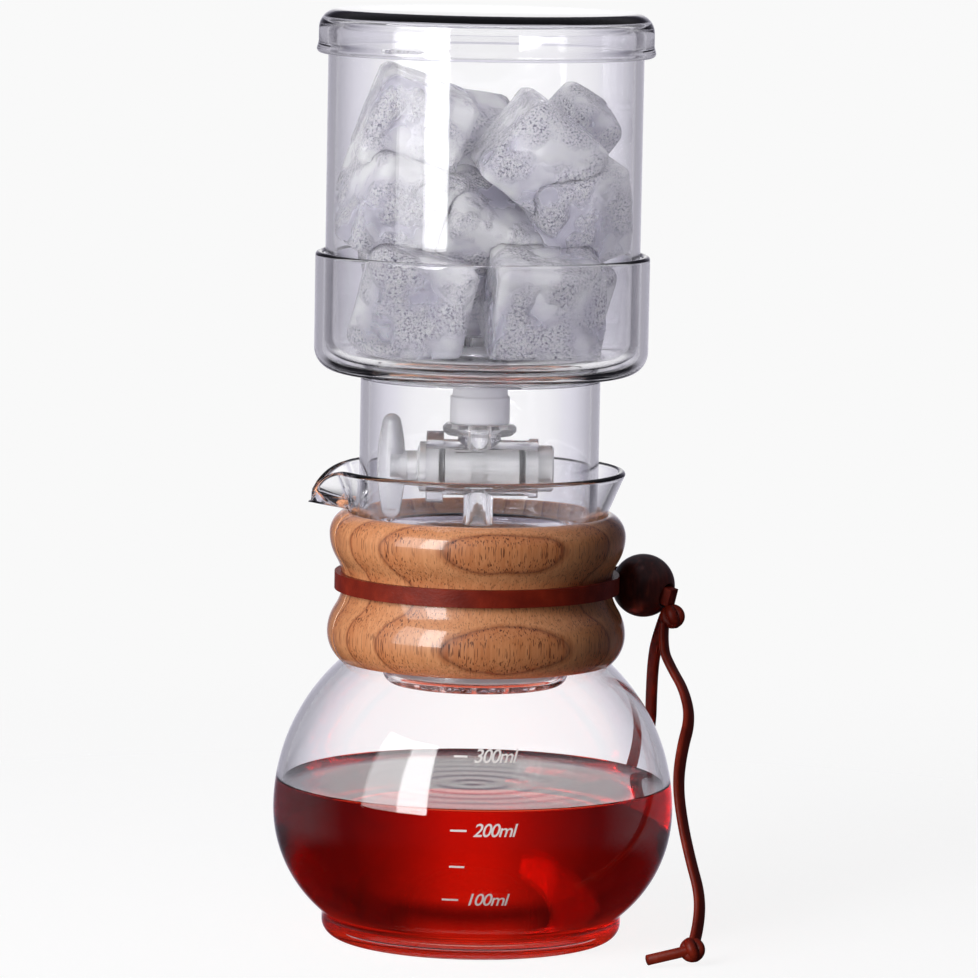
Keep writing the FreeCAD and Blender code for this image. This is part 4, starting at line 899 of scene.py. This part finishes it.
woven = add_node(
    tree, "Mix",
    {"Factor": FIBRE_SHARE, "A": ring_tone.outputs["Color"], "B": fibre_tone.outputs["Color"]},
    data_type="RGBA",
)
pores = add_node(tree, "TexNoise", {"Vector": place_on(tree, PORE_SIZE), "Scale": 1.0, "Detail": 1.0})
pore = add_node(
    tree, "MapRange",
    {"Value": pores.outputs["Fac"], "From Min": PORE_EDGE[0], "From Max": PORE_EDGE[1]},
)
crowding = add_node(
    tree, "MapRange",
    {"Value": ring.outputs[0], "From Max": LATE_FROM, "To Min": PORES_EARLY, "To Max": PORES_LATE},
)
pore_tint = add_node(
    tree, "Math", {0: pore.outputs["Result"], 1: crowding.outputs["Result"]}, operation="MULTIPLY",
)
grained = add_node(
    tree, "Mix", {"Factor": pore_tint.outputs[0], "A": woven.outputs["Result"], "B": linear(PORE_TONE)},
    data_type="RGBA",
)
tree.links.new(grained.outputs["Result"], shader.inputs["Base Color"])
open_grain = add_node(tree, "Math", {0: 1.0, 1: pore.outputs["Result"]}, operation="SUBTRACT")
relief = add_node(
    tree, "Bump", {"Height": open_grain.outputs[0], "Distance": PORE_DEPTH * MM, "Strength": 0.4},
)
tree.links.new(relief.outputs["Normal"], shader.inputs["Normal"])
for half in ("collar_front", "collar_back"):
    dressed(half, wood, "carafe", "collar_wood", sharp=40, edge=0.5)
print(f"collar: growth rings {RING_SPACING} mm apart, pores {PORE_SIZE[2]} mm long")

# %% [markdown]
# ## Leather lace, bead and knots
#
# The lace is cut from one side of vegetable-tanned leather, dyed red-brown through and flat in
# section. The bead is a darker, polished hardwood. Leather shows as a fine, uneven grain with a
# soft sheen, which two scales of noise give: one for the dye, one for the grain.

# %% Leather and bead
GRAIN, GRAIN_DEPTH = 0.7, 0.12
DYE_PATCH, DYE_TONES = 6.0, ((0.30, "#68190D"), (0.55, "#7A2110"), (0.75, "#8E2A16"))
BEAD_FIGURE, BEAD_TONES = (1.2, 1.2, 7.0), ((0.3, "#3A1612"), (0.6, "#5E2820"), (0.8, "#80402F"))

leather, tree, shader = new_material("vegetable-tanned leather", Roughness=0.42, Specular_IOR_Level=0.25)
dye = add_node(tree, "TexNoise", {"Vector": place_on(tree, (DYE_PATCH,) * 3), "Scale": 1.0, "Detail": 3.0})
dye_tone = add_node(tree, "ValToRGB", {"Fac": dye.outputs["Fac"]}, stops=DYE_TONES)
tree.links.new(dye_tone.outputs["Color"], shader.inputs["Base Color"])
grain = add_node(tree, "TexNoise", {"Vector": place_on(tree, (GRAIN,) * 3), "Scale": 1.0, "Detail": 3.0})
relief = add_node(
    tree, "Bump", {"Height": grain.outputs["Fac"], "Distance": GRAIN_DEPTH * MM, "Strength": 0.6},
)
tree.links.new(relief.outputs["Normal"], shader.inputs["Normal"])

bead_wood, tree, shader = new_material(
    "polished dark hardwood", Roughness=0.34, Coat_Weight=0.2, Coat_Roughness=0.2,
)
streaks = add_node(tree, "TexNoise", {"Vector": place_on(tree, BEAD_FIGURE), "Scale": 1.0, "Detail": 4.0})
bead_tone = add_node(tree, "ValToRGB", {"Fac": streaks.outputs["Fac"]}, stops=BEAD_TONES)
tree.links.new(bead_tone.outputs["Color"], shader.inputs["Base Color"])
dressed("bead", bead_wood, "carafe", "bead_wood", sharp=40, edge=0.4)
dressed("leather_band", leather, "carafe", "lace_leather", sharp=40, edge=0.35)
dressed("tie_knot", leather, "carafe", "lace_leather", sharp=60)
end_knots = [
    dressed("end_knot_" + side, leather, "carafe", "lace_leather", sharp=60) for side in ("front", "back")
]
print(f"band, bead, tie knot and {len(end_knots)} end knots")

# %% [markdown]
# ## Hanging ends
#
# The two ends of the lace leave the tie knot, fall over the bulb and end in knots. Each is one
# smooth spline through the same route as its solid, with a flat section: a curve's extrude gives
# half the flat of the lace and its bevel the rounded edge.

# %% Hanging ends
LACE_WIDTH, LACE_THICKNESS = 3.9, 1.7
TAILS = {
    "front": (
        (48.3, 7.0, 80.7), (47.9, 6.2, 74.4), (50.3, 4.4, 69.4), (53.6, 1.4, 64.2), (55.2, -3.4, 57.6),
        (53.0, -9.6, 50.6), (51.9, -15.4, 42.4), (53.2, -20.6, 33.2), (55.3, -25.2, 24.6),
        (57.7, -29.6, 16.6), (57.4, -33.4, 9.6), (56.2, -36.2, 5.6),
    ),
    "back": (
        (48.6, 10.2, 81.7), (46.6, 12.6, 75.2), (45.9, 16.4, 68.6), (45.8, 20.8, 60.4), (45.9, 25.8, 52.6),
        (44.8, 31.0, 44.8), (42.6, 35.4, 36.8), (40.3, 38.9, 28.8),
    ),
}
for side, knot in zip(("front", "back"), end_knots):
    route = TAILS[side]
    line = bpy.data.curves.new("lace_" + side, "CURVE")
    line.dimensions = "3D"
    spline = line.splines.new("NURBS")
    spline.points.add(len(route) - 1)
    for point, place in zip(spline.points, route):
        point.co = (*(part * MM for part in place), 1)
    spline.order_u = 3
    spline.use_endpoint_u = True
    spline.resolution_u = 12
    line.bevel_depth = LACE_THICKNESS / 2 * MM
    line.extrude = (LACE_WIDTH - LACE_THICKNESS) / 2 * MM
    line.bevel_resolution = 3
    line.use_fill_caps = True
    line.materials.append(leather)
    tail = bpy.data.objects.new("lace_tail_" + side, line)
    bpy.context.scene.collection.objects.link(tail)
    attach(tail, "carafe")
    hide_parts("tail_" + side)
    spans = [Vector(after) - Vector(before) for before, after in zip(route, route[1:])]
    print(f"{side} end: {sum(span.length for span in spans):.1f} mm from point to point")

# %% [markdown]
# ## Stopcock
#
# The stopcock is moulded: a clear body, a milky plug that turns in it, a satin lever and a soft
# silicone bung that holds it in the jar's floor. Each plastic differs in how deep light gets in,
# so clear ones get transmission with a low roughness and milky ones with a high one.

# %% Stopcock
FROST_GRAIN, FROST_DEPTH = 0.5, 0.05
MOULD_GRAIN, MOULD_DEPTH = 0.35, 0.03

clear_plastic, _, _ = new_material(
    "clear polycarbonate", Base_Color=linear("#FFFFFF"), Roughness=0.05, IOR=1.42, Transmission_Weight=0.92,
)
milky_plastic, _, _ = new_material(
    "milky polypropylene", Base_Color=linear("#FFFFFF"), Roughness=0.20, IOR=1.36, Transmission_Weight=0.70,
)
silicone, tree, shader = new_material(
    "frosted silicone", Base_Color=linear("#F8F7FA"), Roughness=0.5, IOR=1.28, Transmission_Weight=0.55,
)
frost = add_node(
    tree, "TexNoise", {"Vector": place_on(tree, (FROST_GRAIN,) * 3), "Scale": 1.0, "Detail": 2.0},
)
relief = add_node(
    tree, "Bump", {"Height": frost.outputs["Fac"], "Distance": FROST_DEPTH * MM, "Strength": 0.4},
)
tree.links.new(relief.outputs["Normal"], shader.inputs["Normal"])
satin_grey, tree, shader = new_material(
    "satin translucent nylon", Base_Color=linear("#FAFAFC"), Roughness=0.2, IOR=1.42,
    Transmission_Weight=0.75,
)
mould = add_node(
    tree, "TexNoise", {"Vector": place_on(tree, (MOULD_GRAIN,) * 3), "Scale": 1.0, "Detail": 2.0},
)
relief = add_node(
    tree, "Bump", {"Height": mould.outputs["Fac"], "Distance": MOULD_DEPTH * MM, "Strength": 0.4},
)
tree.links.new(relief.outputs["Normal"], shader.inputs["Normal"])
black_rubber, _, _ = new_material("black nitrile rubber", Base_Color=linear("#26262A"), Roughness=0.55)

STOPCOCK = (
    # solid, finish, body, slot, angle from which a fold is an edge, width of the broken edge
    ("valve_body", clear_plastic, "ice_jar", "valve_plastic", 30, 0.25),
    ("jar_plug", silicone, "ice_jar", "plug_rubber", 30, 0.3),
    ("valve_cock", milky_plastic, "cock", "cock_plastic", 30, 0.15),
    ("retaining_cap", milky_plastic, "cock", "cock_plastic", 30, 0.2),
    ("lever_handle", satin_grey, "cock", "lever_plastic", 35, 0.2),
    ("cock_seals", black_rubber, "cock", "seal_rubber", 60, 0),
)
for row in STOPCOCK:
    dressed(*row)
print(f"stopcock: {len(STOPCOCK)} pieces")

# %% [markdown]
# ## Filter
#
# A steel ring holds a woven screen on the cup's floor. The weave is far finer than the view shows,
# so it is drawn as coarse as it needs to be to read as cloth of wire.

# %% Filter
WIRE_PITCH, WIRE_DEPTH = 0.9, 0.2

steel, _, _ = new_material(
    "brushed stainless steel", Base_Color=linear("#C8C7C6"), Metallic=1.0, Roughness=0.28,
)
screen, tree, shader = new_material(
    "woven steel wire", Base_Color=linear("#B4B3B1"), Metallic=1.0, Roughness=0.35,
)
weave = add_node(
    tree, "TexBrick", {"Vector": place_on(tree, (WIRE_PITCH,) * 3), "Scale": 1.0, "Mortar Size": 0.12},
)
relief = add_node(
    tree, "Bump", {"Height": weave.outputs["Fac"], "Distance": WIRE_DEPTH * MM, "Strength": 0.8},
)
tree.links.new(relief.outputs["Normal"], shader.inputs["Normal"])
dressed("filter_ring", steel, "brew_cup", "filter_steel", sharp=30, edge=0.15)
dressed("filter_screen", screen, "brew_cup", "filter_steel", sharp=30)
print(f"filter: wires {WIRE_PITCH} mm apart")

# %% [markdown]
# ## Ice
#
# Cubes that have begun to melt: frosted faces with clear windows where water has run, and crusts
# of fine crystals. Frost and crust are in the shader: a coarse noise sets how rough the ice is, a
# second where the crystals stand, the finest paints glints on them as white and dark grey specks in
# the colour, and another gives the crystals relief.

# %% Ice
CLOUD_SIZE, CLOUD_EDGE, CLOUD_ROUGH = 16.0, (0.40, 0.56), (0.03, 0.34)
CRUST_SIZE, CRUST_EDGE, CRUST_ROUGH = 8.0, (0.43, 0.60), 0.08
CLOUD_TONES = ((0.0, "#FFFFFF"), (1.0, "#D0CEDB"))
# painted glints: a fine noise flecks the crusts' colour white and dark grey where crystals would glint
PAINTED_GLINT_SIZE, PAINTED_GLINT_TONES = 0.6, ((0.32, "#8E8C9A"), (0.45, "#E8E6EE"), (0.56, "#FFFFFF"))
CRYSTAL_SIZE, CRYSTAL_DEPTH = 1.0, 1.8

ice, tree, shader = new_material("melting ice", IOR=1.31, Transmission_Weight=0.58)
cloud = add_node(
    tree, "TexNoise", {"Vector": place_on(tree, (CLOUD_SIZE,) * 3), "Scale": 1.0, "Detail": 3.0},
)
frosted = add_node(
    tree, "MapRange",
    {"Value": cloud.outputs["Fac"], "From Min": CLOUD_EDGE[0], "From Max": CLOUD_EDGE[1]},
)
cloud_tone = add_node(tree, "ValToRGB", {"Fac": frosted.outputs["Result"]}, stops=CLOUD_TONES)
frost_rough = add_node(
    tree, "MapRange",
    {"Value": frosted.outputs["Result"], "To Min": CLOUD_ROUGH[0], "To Max": CLOUD_ROUGH[1]},
)
patches = add_node(
    tree, "TexNoise", {"Vector": place_on(tree, (CRUST_SIZE,) * 3), "Scale": 1.0, "Detail": 2.0},
)
crusted = add_node(
    tree, "MapRange",
    {"Value": patches.outputs["Fac"], "From Min": CRUST_EDGE[0], "From Max": CRUST_EDGE[1]},
)
# painted glints: white and dark grey specks in the crusts' colour stand in for light glinting off crystals
painted_glint_noise = add_node(
    tree, "TexNoise",
    {"Vector": place_on(tree, (PAINTED_GLINT_SIZE,) * 3), "Scale": 1.0, "Detail": 2.0, "Roughness": 0.6},
)
painted_glint_tone = add_node(tree, "ValToRGB", {"Fac": painted_glint_noise.outputs["Fac"]}, stops=PAINTED_GLINT_TONES)
# the crusts take the painted glints, and the rest keeps the frost's own tone
frost_and_painted_glint_tone = add_node(
    tree, "Mix",
    {"Factor": crusted.outputs["Result"], "A": cloud_tone.outputs["Color"],
     "B": painted_glint_tone.outputs["Color"]},
    data_type="RGBA",
)
tree.links.new(frost_and_painted_glint_tone.outputs["Result"], shader.inputs["Base Color"])
rough = add_node(
    tree, "Mix",
    {"Factor": crusted.outputs["Result"], "A": frost_rough.outputs["Result"], "B": CRUST_ROUGH},
)
tree.links.new(rough.outputs["Result"], shader.inputs["Roughness"])
crystals = add_node(
    tree, "TexNoise",
    {"Vector": place_on(tree, (CRYSTAL_SIZE,) * 3), "Scale": 1.0, "Detail": 2.0, "Roughness": 0.7},
)
standing = add_node(
    tree, "Math", {0: crystals.outputs["Fac"], 1: crusted.outputs["Result"]}, operation="MULTIPLY",
)
relief = add_node(
    tree, "Bump", {"Height": standing.outputs[0], "Distance": CRYSTAL_DEPTH * MM, "Strength": 1.0},
)
tree.links.new(relief.outputs["Normal"], shader.inputs["Normal"])
print(f"ice: crystals {CRYSTAL_SIZE} mm wide in crusts {CRUST_SIZE} mm wide")

# %% [markdown]
# ## Melted cubes
#
# Each cube starts from its solid. It is remeshed into small, even faces, smoothed so that its edges
# melt, and pushed in and out by noise for the wavy skin. The noise is shifted for each cube, so
# that no two cubes melt alike.

# %% Melted cubes
ICE_CUBES = sorted(node for node in nodes if node.startswith("ice_cube_"))
VOXEL = 0.8
MELT_ROUNDS, MELT_STEP = 2, 0.5
SKIN_WAVE, SKIN_DEPTH, SKIN_SHIFT = 6.0, 0.32, 17.0

for number, node in enumerate(ICE_CUBES):
    rough_cube = merged_copy(node)
    rough_mesh = bpy.data.meshes.new(node + "_rough")
    rough_cube.to_mesh(rough_mesh)
    rough_cube.free()
    rough_object = bpy.data.objects.new(node + "_rough", rough_mesh)
    bpy.context.scene.collection.objects.link(rough_object)
    remesh = rough_object.modifiers.new("even faces", "REMESH")
    remesh.mode = "VOXEL"
    remesh.voxel_size = VOXEL * MM
    bpy.context.view_layer.update()
    even = rough_object.evaluated_get(bpy.context.evaluated_depsgraph_get())
    cube = bmesh.new()
    cube.from_mesh(even.to_mesh())
    bpy.data.objects.remove(rough_object)
    for _ in range(MELT_ROUNDS):
        bmesh.ops.smooth_vert(
            cube, verts=cube.verts, factor=MELT_STEP, use_axis_x=True, use_axis_y=True, use_axis_z=True,
        )
    shift = Vector((number * SKIN_SHIFT, 0, 0))
    cube.normal_update()
    for vert in cube.verts:
        wave = noise.noise(vert.co / (SKIN_WAVE * MM) + shift)
        vert.co += vert.normal * wave * SKIN_DEPTH * MM
    finish_piece(cube, node.replace("cube", "melting"), ice, "ice_jar", "ice", (node,), sharp=180)
print(f"{len(ICE_CUBES)} ice cubes")

# %% [markdown]
# ## Volume marks
#
# The carafe carries plain printed marks in white enamel: a dash and slanted numerals for 100, 200
# and 300 ml, and a dash alone between the lower two. They are set flat, made into a mesh, and then
# every point is laid on the bulb.

# %% Volume marks
MARKS = (
    # height of the line, left end and length of the dash, numerals, left end of the numerals
    (35.6, -5.5, 4.1, "200ml", 0.1),
    (26.4, -5.6, 3.8, "", 0.0),
    (17.5, -7.3, 4.1, "100ml", -1.6),
    (53.6, -4.9, 3.4, "300ml", -0.1),
)
TEXT_HEIGHT, TEXT_SLANT, TEXT_BOLD, TEXT_SPACING = 4.65, 0.28, 0.045, 0.9
DASH_HEIGHT, DASH_STEPS = 0.5, 8
PRINT_LIFT = 0.06

enamel, _, _ = new_material("white printed enamel", Base_Color=linear("#F1ECEA"), Roughness=0.4)


def side_radius(height):
    """The carafe's outer radius at a height, on the bulb or the tighter curve below it."""
    rise = height - BULB_HEIGHT
    if rise > 0:
        return math.sqrt(BULB ** 2 - rise ** 2)
    return lower_centre[0] + math.sqrt(LOWER_CURVE ** 2 - rise ** 2)


def lay_on_bulb(shape, left, height):
    """Bends a flat print, drawn in millimetres from its lower left, onto the front of the bulb."""
    for vert in shape.verts:
        across, up = left + vert.co.x, height + vert.co.y
        radius = side_radius(up) + PRINT_LIFT + vert.co.z
        vert.co = Vector((across, -math.sqrt(radius ** 2 - across ** 2), up)) * MM


for height, dash_left, dash_length, numerals, text_left in MARKS:
    prints = bmesh.new()
    bmesh.ops.create_grid(prints, x_segments=DASH_STEPS, y_segments=1, size=0.5)
    for vert in prints.verts:
        vert.co = Vector(((vert.co.x + 0.5) * dash_length, vert.co.y * DASH_HEIGHT, 0))
    lay_on_bulb(prints, dash_left, height)
    if numerals:
        words = bpy.data.curves.new("numerals", "FONT")
        words.body = numerals
        words.size = TEXT_HEIGHT
        words.shear = TEXT_SLANT
        words.space_character = TEXT_SPACING
        words.offset = TEXT_BOLD
        words.align_y = "CENTER"
        flat = bpy.data.objects.new("numerals", words)
        bpy.context.scene.collection.objects.link(flat)
        bpy.context.view_layer.update()
        letters = bmesh.new()
        letters.from_mesh(flat.to_mesh())
        bpy.data.objects.remove(flat)
        lay_on_bulb(letters, text_left, height)
        letter_mesh = bpy.data.meshes.new("letters")
        letters.to_mesh(letter_mesh)
        letters.free()
        prints.from_mesh(letter_mesh)
        bpy.data.meshes.remove(letter_mesh)
    finish_piece(prints, f"mark_{height:.0f}", enamel, "carafe", "clear_glass", sharp=180)
print(f"{len(MARKS)} volume marks")

# %% [markdown]
# ## Finish
#
# The view transform is plain, so a colour shows as it is written. Glass within glass needs many
# bounces before light comes out again, so the limits on them are raised.

# %% Finish
scene = bpy.context.scene
scene.view_settings.view_transform = "Standard"
scene.cycles.max_bounces = 24
scene.cycles.transmission_bounces = 24
scene.cycles.glossy_bounces = 8
scene.cycles.diffuse_bounces = 4
scene.cycles.transparent_max_bounces = 16
